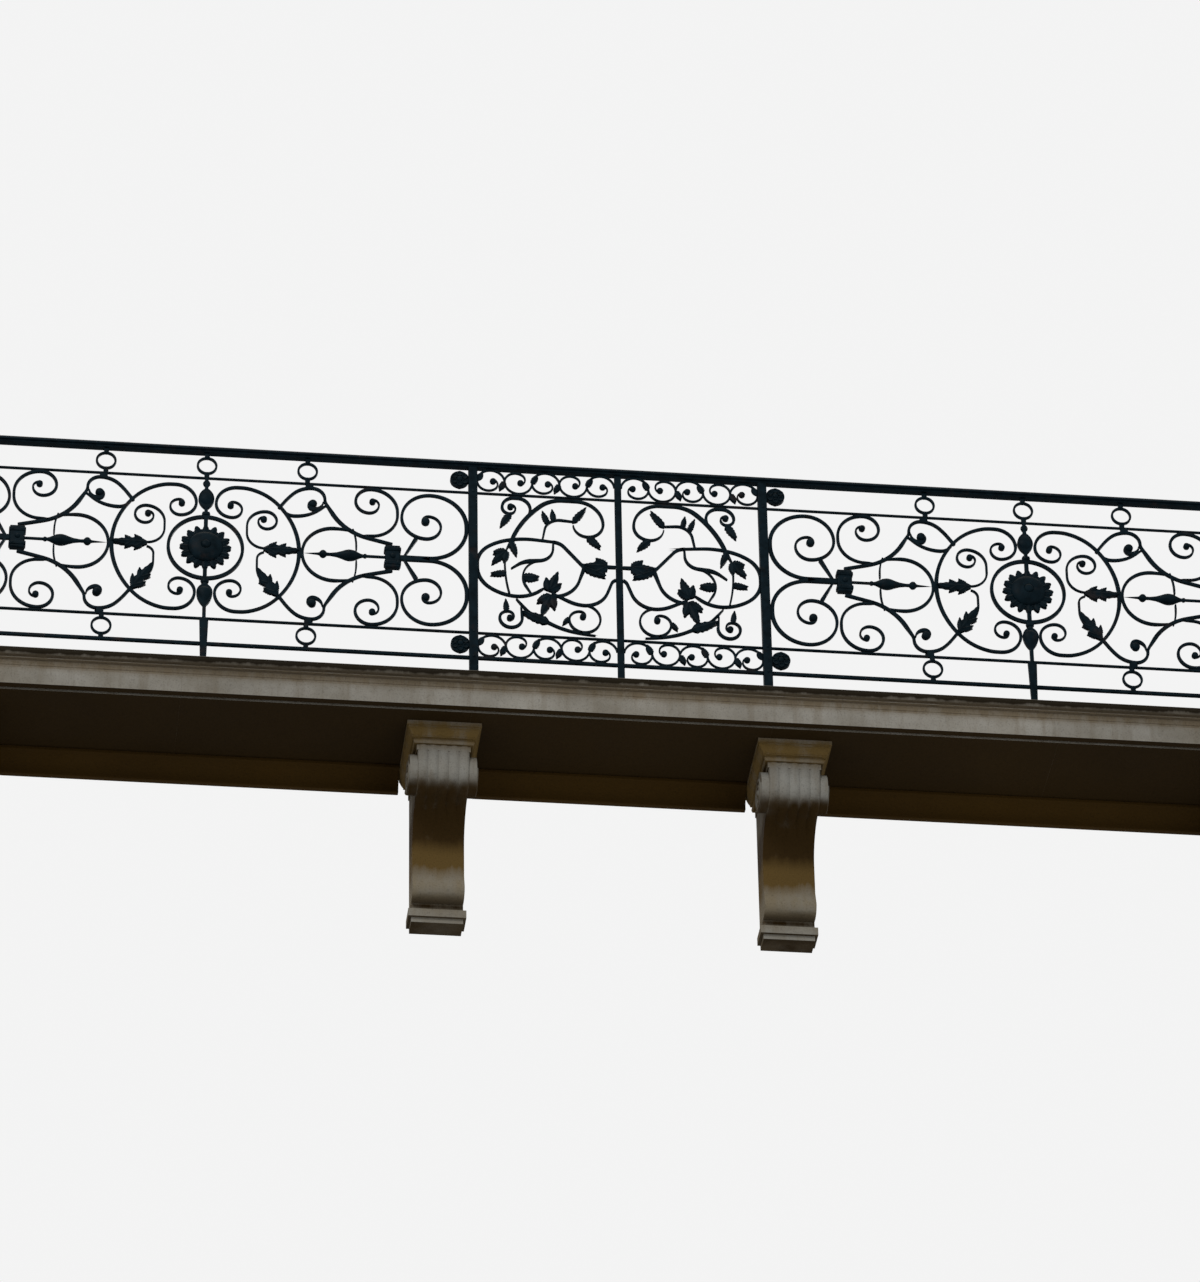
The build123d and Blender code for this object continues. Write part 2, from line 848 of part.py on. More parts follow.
# The medallion, and what stands on its axis
def medallion(offset):
    with BuildPart() as piece:
        with BuildSketch(axis_plane(offset, y=railing_y + bar_depth / 2)):
            Circle(ring_radius)
            Circle(ring_radius - ring_bar, mode=Mode.SUBTRACT)
            Rectangle(stem_width, 2 * ring_radius - ring_bar)
        extrude(amount=bar_depth)
        with BuildSketch(axis_plane(offset, y=railing_y + rosette_depth / 2)):
            Circle(rosette_radius - rosette_lobe_radius)
            with PolarLocations(rosette_radius - rosette_lobe_radius, rosette_lobes):
                RegularPolygon(rosette_lobe_radius, 4)
        extrude(amount=rosette_depth)
        with BuildSketch(Plane(origin=(offset, railing_y, panel_mid), x_dir=(1, 0, 0), z_dir=(0, 0, 1))):
            with BuildLine():
                Polyline(
                    (0, 0),
                    (dome_radius, 0),
                    (dome_radius, -rosette_depth / 2),
                    (dome_shoulder, -dome_shoulder_height),
                    (dome_top, -dome_height),
                    (0, -dome_height),
                    close=True,
                )
            make_face()
        revolve(axis=Axis((offset, railing_y, panel_mid), (0, 1, 0)))
    return piece.part


def pod(root, belly, point):
    """The face of a pod that swells from root to its belly and closes to a point."""
    half = vase_half_width
    shoulder = (pod_shoulder * half, (root + belly) / 2)
    flank = (pod_taper * half, belly + pod_taper * (point - belly))
    with BuildSketch() as face:
        with BuildLine():
            ThreePointArc((0, root), shoulder, (half, belly))
            ThreePointArc((half, belly), flank, (0, point))
            Line((0, point), (0, root))
        make_face()
        mirror(about=Plane.YZ)
    return face.sketch


def axis_ornament(offset):
    """The vase over the medallion, the drop under it and the foot that stands on the slab."""
    collar_level = ring_radius + neck_collar_height / 2
    floor = slab_top - panel_mid
    foot_high = panel_lower - foot_top_gap
    with BuildPart() as piece:
        with BuildSketch(axis_plane(offset, y=railing_y + axis_depth / 2)):
            with Locations((0, (ring_radius + panel_upper) / 2)):
                Rectangle(neck_width, panel_upper - ring_radius + ring_bar)
            with Locations((0, collar_level), (0, -collar_level)):
                Rectangle(2 * neck_width, neck_collar_height)
            add(pod(vase_foot, vase_belly, vase_top))
            add(pod(-drop_top, -drop_belly, -drop_point))
            with Locations((0, bud_level)):
                RegularPolygon(bud_radius, 8)
            with Locations((0, (floor - ring_radius) / 2)):
                Rectangle(neck_width, -floor - ring_radius)
            with BuildLine():
                Polyline(
                    (-foot_top_width / 2, foot_high),
                    (foot_top_width / 2, foot_high),
                    (foot_bottom_width / 2, floor + foot_waist_level),
                    (foot_top_width / 2, floor),
                    (-foot_top_width / 2, floor),
                    (-foot_bottom_width / 2, floor + foot_waist_level),
                    close=True,
                )
            make_face()
            Circle(ring_radius + seat_gap, mode=Mode.SUBTRACT)
            with Locations((0, panel_upper + ring_radius)):
                Rectangle(4 * neck_width, 2 * ring_radius, mode=Mode.SUBTRACT)
        extrude(amount=axis_depth)
    return piece.part


def spears(offset):
    """The turned rods on the long axis, each with a leaf bulb, a ball and a point."""
    rod = spear_rod_radius
    ball = spear_ball_radius
    seat = collar_offset - collar_width / 2
    with BuildPart() as piece:
        for hand in (-1, 1):
            middle = (offset, railing_y, panel_mid)
            with BuildSketch(Plane(origin=middle, x_dir=(hand, 0, 0), z_dir=(0, -hand, 0))):
                with BuildLine():
                    Polyline(
                        (spear_tip_offset, 0),
                        (spear_ball_offset - ball, rod),
                        (spear_ball_offset - ball / 2, ball),
                        (spear_ball_offset + ball / 2, ball),
                        (spear_ball_offset + ball, rod),
                        (spear_leaf_offset - spear_leaf_length / 2, spear_leaf_radius * spear_leaf_swell),
                        (spear_leaf_offset, spear_leaf_radius),
                        (spear_leaf_offset + spear_leaf_length / 2, spear_leaf_radius * spear_leaf_swell),
                        (spear_leaf_offset + spear_leaf_length, rod),
                        (seat, rod),
                        (seat, 0),
                        close=True,
                    )
                make_face()
            revolve(axis=Axis((offset, railing_y, panel_mid), (1, 0, 0)))
    return piece.part


def collars(offset):
    with BuildPart() as piece:
        with BuildSketch(axis_plane(offset, y=railing_y + collar_depth / 2)):
            with Locations((collar_offset, 0), (-collar_offset, 0)):
                Rectangle(collar_width, collar_height)
        extrude(amount=collar_depth)
        chamfer(piece.faces().filter_by(Axis.Y).edges(), collar_bevel)
    return piece.part


def frieze_rings(offset):
    upper = [(offset + place * frieze_ring_spacing, slab_top + upper_frieze_level) for place in (-1, 0, 1)]
    lower = [(offset + place * frieze_ring_spacing, slab_top + lower_frieze_level) for place in (-1, 1)]
    with BuildPart() as piece:
        for places, low, high in (
            (upper, upper_rail_high, handrail_bottom),
            (lower, bottom_rail_high, lower_rail_low),
        ):
            with BuildSketch(axis_plane(0, 0, railing_y + bar_depth / 2)):
                with Locations(*[(x, (low + high) / 2) for x, z in places]):
                    Rectangle(frieze_collar_width, high - low)
                with Locations(*places):
                    Circle(frieze_ring_radius)
                    Circle(frieze_ring_radius - frieze_ring_bar, mode=Mode.SUBTRACT)
            extrude(amount=bar_depth)
    return piece.part


axis_pieces = []
for hand, side in ((-1, "left"), (1, "right")):
    offset = hand * panel_axis_offset
    save(medallion(offset), f"{side}_medallion")
    ornament = axis_ornament(offset)
    axis_pieces.append(ornament)
    save(ornament, f"{side}_axis_ornament")
    save(spears(offset), f"{side}_spears")
    save(collars(offset), f"{side}_collars")
    save(frieze_rings(offset), f"{side}_frieze_rings")

# The long rails, cut where a post or a foot passes
def rails(level, height, depth, name):
    """The rails at one height: the front's runs between the posts and both returns."""
    runs = [
        (post_offset + post_width / 2, end_post_offset - post_width / 2),
        (centre_bar_width / 2, post_offset - post_width / 2),
    ]
    with BuildPart() as piece:
        with BuildSketch(Plane.XY.offset(slab_top + level - height / 2)):
            for low, high in runs:
                with Locations(((low + high) / 2, railing_y), (-(low + high) / 2, railing_y)):
                    Rectangle(high - low, depth)
            with Locations((end_post_offset, return_middle), (-end_post_offset, return_middle)):
                Rectangle(depth, 2 * return_half)
        extrude(amount=height)
        for ornament in axis_pieces:
            add(ornament, mode=Mode.SUBTRACT)
    save(piece.part, name)


rails(upper_rail_level, thin_rail_height, thin_rail_depth, "upper_rails")
rails(lower_rail_level, thin_rail_height, thin_rail_depth, "lower_rails")
rails(bottom_rail_level, bottom_rail_height, bottom_rail_height, "bottom_rails")

# The rosettes beside the posts
with BuildPart() as post_rosettes:
    places = []
    for hand in (-1, 1):
        for post, away in ((post_offset, 1), (end_post_offset, -1)):
            for level in (upper_frieze_level, lower_frieze_level):
                places.append((hand * (post + away * frieze_rosette_offset), slab_top + level))
    with BuildSketch(axis_plane(0, 0, railing_y + axis_depth / 2)):
        with Locations(*places):
            Circle(frieze_rosette_radius)
        for hand in (-1, 1):
            for post in (post_offset, end_post_offset):
                with Locations((hand * post, panel_mid)):
                    Rectangle(post_width, handrail_bottom, mode=Mode.SUBTRACT)
    extrude(amount=axis_depth)
save(post_rosettes.part, "post_rosettes")

# The scrolled panels
half_window = window_half()
with BuildSketch() as whole_window:
    add(half_window)
    mirror(about=Plane.YZ)
for hand, side in ((-1, "left"), (1, "right")):
    extrude_bars(whole_window.sketch, axis_plane(hand * panel_axis_offset), f"{side}_scrollwork")

half_pier = pier_half_panel()
extrude_bars(half_pier, axis_plane(0), "pier_right_scrollwork")
extrude_bars(half_pier.mirror(Plane.YZ), axis_plane(0), "pier_left_scrollwork")


# The running scrolls above and below the middle panel
def running_scrolls(low, high, name):
    """A wave that touches both rails, a volute in each of its turns and a leaf in each spandrel."""
    middle = (low + high) / 2
    start = centre_bar_width / 2
    pitch = (pier_half - start) / wave_count
    rise = (high - low - wave_bar) / 2
    swing = 4 * degrees(atan2(rise, pitch / 2))
    reach = pitch / (2 * sin(radians(swing / 2)))
    outer_coil = pitch * wave_outer_coil
    inner_coil = pitch * wave_inner_coil
    with BuildSketch() as wave:
        up = 1
        for index in range(wave_count):
            turn = (start + index * pitch, middle)
            next_turn = (turn[0] + pitch, middle)
            add(scroll(turn, up * swing / 2, [(reach, -up * swing)], [wave_bar, wave_bar]))
            volute = scroll(
                next_turn,
                -up * swing / 2,
                [(outer_coil, -up * 130), (inner_coil, -up * 110)],
                [wave_bar, wave_bar, wave_tip],
                wave_eye,
            )
            add(volute)
            add(leaf(next_turn, 90 * up + wave_leaf_lean, wave_leaf_length, wave_leaf_width))
            up = -up
        with Locations(((start + pier_half) / 2, middle)):
            Rectangle(pier_half - start, high - low, mode=Mode.INTERSECT)
        mirror(about=Plane.YZ)
    with BuildPart() as piece:
        with BuildSketch(axis_plane(0, 0)):
            add(wave.sketch)
        extrude(amount=frieze_depth / 2, both=True)
    save(piece.part, name)


running_scrolls(upper_rail_high, handrail_bottom, "pier_upper_frieze")
running_scrolls(bottom_rail_high, lower_rail_low, "pier_lower_frieze")

# The returns: the outer motif of a window panel, standing between the wall and the corner
motif_middle = small_volute_reach + return_half
with BuildSketch() as return_bars:
    for face in (big_volute(motif_middle + return_half), small_volute()):
        add(face.moved(Location((-motif_middle, 0))))
    with Locations((collar_offset - motif_middle, 0)):
        Rectangle(collar_width, collar_height)
    mirror(about=Plane.XZ)
    with Locations((0, (panel_upper + panel_lower) / 2)):
        Rectangle(2 * return_half, panel_upper - panel_lower, mode=Mode.INTERSECT)
for hand, side in ((-1, "left"), (1, "right")):
    extrude_bars(return_bars.sketch, side_plane(hand * end_post_offset), f"{side}_return_scrollwork")
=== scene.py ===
import logging
import math
from dataclasses import dataclass
from enum import Enum
from functools import cache
from typing import Callable

import bpy
from bpy.types import ID, Material, Node, NodeSocket, NodeTree, Object
from mathutils import Matrix, Vector


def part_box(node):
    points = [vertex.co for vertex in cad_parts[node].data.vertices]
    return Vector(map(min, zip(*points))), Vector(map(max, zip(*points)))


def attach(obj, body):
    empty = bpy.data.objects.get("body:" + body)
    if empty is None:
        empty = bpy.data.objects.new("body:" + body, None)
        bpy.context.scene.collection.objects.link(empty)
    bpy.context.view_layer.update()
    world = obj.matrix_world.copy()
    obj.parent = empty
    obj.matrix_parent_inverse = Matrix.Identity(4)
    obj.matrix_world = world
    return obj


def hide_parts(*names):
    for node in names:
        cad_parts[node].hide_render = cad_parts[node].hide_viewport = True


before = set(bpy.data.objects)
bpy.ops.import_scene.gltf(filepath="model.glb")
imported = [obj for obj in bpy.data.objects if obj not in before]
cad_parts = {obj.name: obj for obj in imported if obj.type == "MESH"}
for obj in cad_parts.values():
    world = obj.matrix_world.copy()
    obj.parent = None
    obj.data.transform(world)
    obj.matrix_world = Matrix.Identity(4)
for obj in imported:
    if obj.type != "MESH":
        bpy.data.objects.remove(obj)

logging.basicConfig(level=logging.INFO, format="%(message)s")
log = logging.getLogger("balcony")

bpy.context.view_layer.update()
IMAGE_WIDTH = 1200
IMAGE_HEIGHT = 1282
MM = 0.001
SIDES = ("left", "right")
HANDS = (-1, 1)
UNSCALED = (1.0, 1.0, 1.0)
FULL = (0.0, 1.0)
SLAB_LOW, SLAB_TOP = (corner.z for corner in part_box("slab_stone_3"))
RAILING_Y = sum(corner.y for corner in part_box("end_post_left")) / 2
# Levels on the railing are millimetres above the slab; places on a face are from a panel's middle.
PANEL_LEVEL = 564.0
PANEL_MID = SLAB_TOP + PANEL_LEVEL * MM
UPPER_RINGS = 964.0
LOWER_RINGS = 163.0
BAR_FACE = 7.0
BOSS_RADIUS = 15.0
LEAF_LENGTH = 97.0
LEAF_WIDTH = 35.0
STONE_ARRIS = 0.003
STONE_ANGLE = 30.0
IRON_ANGLE = 34.0
SAME_CORNER = 0.00001
SAME_FACET = 0.8


class Slot(Enum):
    """The record's material slots."""

    STONE = "stone"
    IRON = "iron"


def middle_of(node: str) -> tuple[float, float]:
    """A CAD node's middle, along the wall and out from it, in metres."""
    low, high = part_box(node)
    return (low.x + high.x) / 2, (low.y + high.y) / 2


# Finishes
class Mixer:
    """Lays nodes into one tree."""

    mottle_ends: tuple = (0.34, 0.66)

    def __init__(self, tree: NodeTree) -> None:
        """Takes the tree that the nodes go into."""
        self.nodes = tree.nodes
        self.links = tree.links

    def feed(self, node: Node, inputs: dict) -> None:
        """Feeds a node's inputs.

        Args:
            node: the node.
            inputs: for each input that is named or numbered, the socket it reads or its constant.
        """
        for name, value in inputs.items():
            if isinstance(value, NodeSocket):
                self.links.new(value, node.inputs[name])
            else:
                node.inputs[name].default_value = value

    def add(self, kind: str, inputs: dict | None = None, **settings: object) -> Node:
        """Adds a node.

        Args:
            kind: the node's type.
            inputs: what its inputs read.
            settings: the node's own settings.

        Returns:
            The node.
        """
        node = self.nodes.new(kind)
        for name, value in settings.items():
            setattr(node, name, value)
        self.feed(node, inputs or {})
        return node

    def group(self, tree: NodeTree, inputs: dict | None = None) -> dict[str, NodeSocket]:
        """Places a node group and gives its outputs by name."""
        return dict(self.add("ShaderNodeGroup", inputs, node_tree=tree).outputs.items())

    def math(self, kind: str, first: NodeSocket, second: object = 0.0, clamp: bool = False) -> NodeSocket:
        """Works out one value from two, and keeps it between 0 and 1 if clamp is true."""
        inputs = {0: first, 1: second}
        return self.add("ShaderNodeMath", inputs, operation=kind, use_clamp=clamp).outputs[0]

    def ramp(self, value: NodeSocket, low: tuple, high: tuple) -> NodeSocket:
        """A colour that runs from one to another as a mottle rises.

        Args:
            value: the mottle.
            low: the colour at its low end.
            high: the colour at its high end.

        Returns:
            The colour's socket.
        """
        node = self.add("ShaderNodeValToRGB", {"Fac": value})
        for element, place, colour in zip(node.color_ramp.elements, self.mottle_ends, (low, high)):
            element.position = place
            element.color = colour
        return node.outputs["Color"]

    def span(self, value: NodeSocket, had: tuple, gets: tuple = FULL, smooth: bool = False) -> NodeSocket:
        """Maps a value from one range to another.

        Args:
            value: the value.
            had: the range that it has.
            gets: the range that it gets.
            smooth: true to ease it at both ends.

        Returns:
            The mapped value's socket.
        """
        inputs = dict(zip(("From Min", "From Max", "To Min", "To Max"), (*had, *gets)))
        inputs["Value"] = value
        easing = "SMOOTHSTEP" if smooth else "LINEAR"
        return self.add("ShaderNodeMapRange", inputs, interpolation_type=easing).outputs[0]

    def lay_grime_and_shade(
        self, colour: NodeSocket, overlay: tuple, mask: NodeSocket, mottle: NodeSocket, amount: float = 1.0
    ) -> NodeSocket:
        """Lays a second colour over a colour: grime, rust and dust, and on the stone also painted shade.

        Args:
            colour: the colour beneath.
            overlay: the dirt's colour.
            mask: where it lies.
            mottle: what breaks it up.
            amount: how thick it is.

        Returns:
            The mixed colour's socket.
        """
        inputs = {"Colour": colour, "Overlay": overlay, "Mask": mask, "Mottle": mottle, "Amount": amount}
        return self.group(grime_and_shade_group(), inputs)["Colour"]

    def mottle(self, size: float, grain: float, stretch: float = 1.0) -> dict[str, NodeSocket]:
        """Places the mottle, large and fine, drawn out upwards where the stretch is below 1."""
        return self.group(mottle_group(), {"Size": size, "Grain": grain, "Stretch": stretch})

    def dress(
        self, colour: NodeSocket, rough: NodeSocket, height: NodeSocket, relief: tuple, specular: float
    ) -> None:
        """Feeds the material's shader.

        Args:
            colour: the base colour.
            rough: the roughness.
            height: the height of the grain.
            relief: the grain's strength and its depth in metres.
            specular: the shine.
        """
        strength, depth = relief
        bump = self.add("ShaderNodeBump", {"Strength": strength, "Distance": depth, "Height": height})
        inputs = {"Base Color": colour, "Roughness": rough, "Normal": bump.outputs["Normal"]}
        self.feed(self.nodes["Principled BSDF"], inputs | {"Specular IOR Level": specular})


def new_group(name: str, inputs: tuple, outputs: tuple, colours: tuple = ()) -> tuple[NodeTree, Mixer, Node]:
    """Starts a node group.

    Args:
        name: the group's name.
        inputs: its inputs' names.
        outputs: its outputs' names.
        colours: the names of those that hold colours, where the others hold values.

    Returns:
        The group, what lays its nodes and its input node.
    """
    group = bpy.data.node_groups.new(name, "ShaderNodeTree")
    for side, names in (("INPUT", inputs), ("OUTPUT", outputs)):
        for socket in names:
            kind = "NodeSocketColor" if socket in colours else "NodeSocketFloat"
            group.interface.new_socket(name=socket, in_out=side, socket_type=kind)
    mixer = Mixer(group)
    return group, mixer, mixer.add("NodeGroupInput")


@cache
def mottle_group() -> NodeTree:
    """A soft large mottle, a fine grain and their height, from the object's own coordinates.

    Returns:
        The node group "Mottle".
    """
    names, made = ("Size", "Grain", "Stretch"), ("Mottle", "Speck", "Height")
    group, mixer, given = new_group("Mottle", names, made)
    place = mixer.add("ShaderNodeTexCoord").outputs["Object"]
    scale = mixer.add("ShaderNodeCombineXYZ", {0: 1.0, 1: 1.0, 2: given.outputs["Stretch"]})
    drawn = mixer.add("ShaderNodeVectorMath", {0: place, 1: scale.outputs[0]}, operation="MULTIPLY")
    noise = "ShaderNodeTexNoise"
    large = {"Vector": drawn.outputs[0], "Scale": given.outputs["Size"], "Detail": 7.0, "Roughness": 0.62}
    fine = {"Vector": place, "Scale": given.outputs["Grain"], "Detail": 4.0, "Roughness": 0.7}
    mottle, speck = mixer.add(noise, large).outputs[0], mixer.add(noise, fine).outputs[0]
    speck_height = 0.35
    height = mixer.add("ShaderNodeMath", {0: speck, 1: speck_height, 2: mottle}, operation="MULTIPLY_ADD")
    mixer.add("NodeGroupOutput", {"Mottle": mottle, "Speck": speck, "Height": height.outputs[0]})
    return group


@cache
def grime_and_shade_group() -> NodeTree:
    """Mixes a second colour into a colour, more where the mask is high and the mottle breaks it up: grime,
    rust and dust, and on the stone also painted shade.

    Returns:
        The node group "Soot".
    """
    names = ("Colour", "Overlay", "Mask", "Mottle", "Amount")
    group, mixer, given = new_group("GrimeAndShade", names, ("Colour",), ("Colour", "Overlay"))
    colour, overlay, mask, mottle, amount = (given.outputs[name] for name in names)
    mottle_edge, thinnest = (0.36, 0.62), 0.5
    edge = mixer.span(mottle, mottle_edge, (thinnest, 1.0))
    share = mixer.math("MULTIPLY", mixer.math("MULTIPLY", edge, mask), amount, clamp=True)
    mix = mixer.add("ShaderNodeMix", {"Factor": share, "A": colour, "B": overlay}, data_type="RGBA")
    mixer.add("NodeGroupOutput", {"Colour": mix.outputs["Result"]})
    return group


@cache
def facing_group() -> NodeTree:
    """Masks of the ways a surface faces: under, up and out from the wall; on the stone, the Under mask and
    the faces turned from the street carry painted shade.

    Returns:
        The node group "Shelter".
    """
    masks = {"Under": ("Z", -0.55, -0.95), "Up": ("Z", 0.25, 0.85), "Out": ("Y", -0.15, -0.85)}
    group, mixer, _ = new_group("Shelter", (), tuple(masks))
    normal = mixer.add("ShaderNodeNewGeometry").outputs["Normal"]
    faces = mixer.add("ShaderNodeSeparateXYZ", {0: normal}).outputs
    ways = {name: mixer.span(faces[axis], ends, smooth=True) for name, (axis, *ends) in masks.items()}
    mixer.add("NodeGroupOutput", ways)
    return group


def new_material(name: str) -> tuple[Material, Mixer]:
    """Starts a material.

    Args:
        name: the material's name.

    Returns:
        The material and what lays its nodes.
    """
    made = bpy.data.materials.new(name)
    made.use_nodes = True
    return made, Mixer(made.node_tree)


@dataclass(frozen=True)
class Band:
    """A level band of colour, grime in some and painted shade in others: its middle and half height in
    metres, its strength and its colour.
    """

    level: float
    half: float
    strength: float
    colour: tuple


@dataclass(frozen=True)
class Limestone:
    """Dressed limestone: rain-washed where it looks out; brown where it turns away, as sheltered grime with
    painted shade; black below, as painted shade with soot.
    """

    name: str
    bands: tuple
    pale: tuple = (0.247, 0.234, 0.204, 1.0)
    deep: tuple = (0.160, 0.144, 0.115, 1.0)
    brown: tuple = (0.083, 0.056, 0.024, 1.0)
    # The black lies on faces that look down, as painted shade with soot; under is how thick it lies.
    black: tuple = (0.0210, 0.0115, 0.0024, 1.0)
    under: float = 2.0
    # How thick the brown lies on faces turned from the street: sheltered grime with painted shade.
    shade_and_grime: float = 0.85
    streaked: float = 0.55
    grain: tuple = (3.4, 150.0)
    streak: tuple = (15.0, 60.0, 0.13)
    cloud: tuple = (0.9, 30.0)
    streak_edge: tuple = (0.50, 0.72)
    pit_edge: tuple = (0.30, 0.48)
    pit_shade: tuple = (0.66, 1.0)
    cloud_edge: tuple = (0.30, 0.70)
    cloud_shade: tuple = (0.80, 1.16)
    roughness: tuple = (0.76, 0.96)
    relief: tuple = (0.6, 0.005)
    specular: float = 0.08

    def material(self) -> Material:
        """Mixes the stone.

        Returns:
            The stone's material.
        """
        made, mixer = new_material(self.name)
        grain, streak, cloud = (mixer.mottle(*scales) for scales in (self.grain, self.streak, self.cloud))
        facing = mixer.group(facing_group())
        place = mixer.add("ShaderNodeTexCoord").outputs["Object"]
        height = mixer.add("ShaderNodeSeparateXYZ", {0: place}).outputs["Z"]
        colour = mixer.ramp(grain["Mottle"], self.deep, self.pale)
        # Brown on every face that does not look out: sheltered grime with painted shade on the sides, tops
        # and undersides.
        shade_and_grime_mask = mixer.math("ABSOLUTE", mixer.math("SUBTRACT", facing["Out"], 1.0))
        colour = mixer.lay_grime_and_shade(colour, self.brown, shade_and_grime_mask, streak["Mottle"], self.shade_and_grime)
        run_down = mixer.span(streak["Mottle"], self.streak_edge)
        colour = mixer.lay_grime_and_shade(colour, self.brown, run_down, grain["Mottle"], self.streaked)
        # Black on faces that look down: painted shade under the slab and the consoles, with soot.
        colour = mixer.lay_grime_and_shade(colour, self.black, facing["Under"], grain["Mottle"], self.under)
        # Level bands of grime, some of which are painted shade.
        for band in self.bands:
            away = mixer.math("ABSOLUTE", mixer.math("SUBTRACT", height, band.level))
            mask = mixer.span(away, (band.half, 0.0), (0.0, band.strength), True)
            colour = mixer.lay_grime_and_shade(colour, band.colour, mask, streak["Mottle"])
        pits = mixer.span(grain["Speck"], self.pit_edge, self.pit_shade)
        tint = mixer.span(cloud["Mottle"], self.cloud_edge, self.cloud_shade)
        inputs = {"Factor": 1.0, "A": colour, "B": mixer.math("MULTIPLY", pits, tint)}
        shaded = mixer.add("ShaderNodeMix", inputs, data_type="RGBA", blend_type="MULTIPLY")
        rough = mixer.span(grain["Mottle"], FULL, self.roughness)
        mixer.dress(shaded.outputs["Result"], rough, grain["Height"], self.relief, self.specular)
        return made


@dataclass(frozen=True)
class IronPaint:
    """Old blue-black paint on hammered iron, dusty on top, rusty in patches."""

    name: str = "IronPaint"
    dark: tuple = (0.0012, 0.0042, 0.0062, 1.0)
    light: tuple = (0.0040, 0.0105, 0.0150, 1.0)
    rust: tuple = (0.060, 0.027, 0.013, 1.0)
    dust: tuple = (0.075, 0.070, 0.060, 1.0)
    rusty: float = 0.30
    dusty: float = 0.55
    hammered: tuple = (26.0, 420.0)
    patches: tuple = (9.0, 90.0)
    rust_edge: tuple = (0.59, 0.74)
    rough_edge: tuple = (0.3, 0.7)
    roughness: tuple = (0.36, 0.62)
    relief: tuple = (0.4, 0.0012)
    specular: float = 0.03

    def material(self) -> Material:
        """Mixes the paint.

        Returns:
            The paint's material.
        """
        made, mixer = new_material(self.name)
        hammered, patches = mixer.mottle(*self.hammered), mixer.mottle(*self.patches)
        facing = mixer.group(facing_group())
        colour = mixer.ramp(hammered["Mottle"], self.dark, self.light)
        worn = mixer.span(patches["Mottle"], self.rust_edge)
        colour = mixer.lay_grime_and_shade(colour, self.rust, worn, hammered["Mottle"], self.rusty)
        colour = mixer.lay_grime_and_shade(colour, self.dust, facing["Up"], hammered["Mottle"], self.dusty)
        rough = mixer.span(hammered["Mottle"], self.rough_edge, self.roughness)
        mixer.dress(colour, rough, hammered["Height"], self.relief, self.specular)
        return made


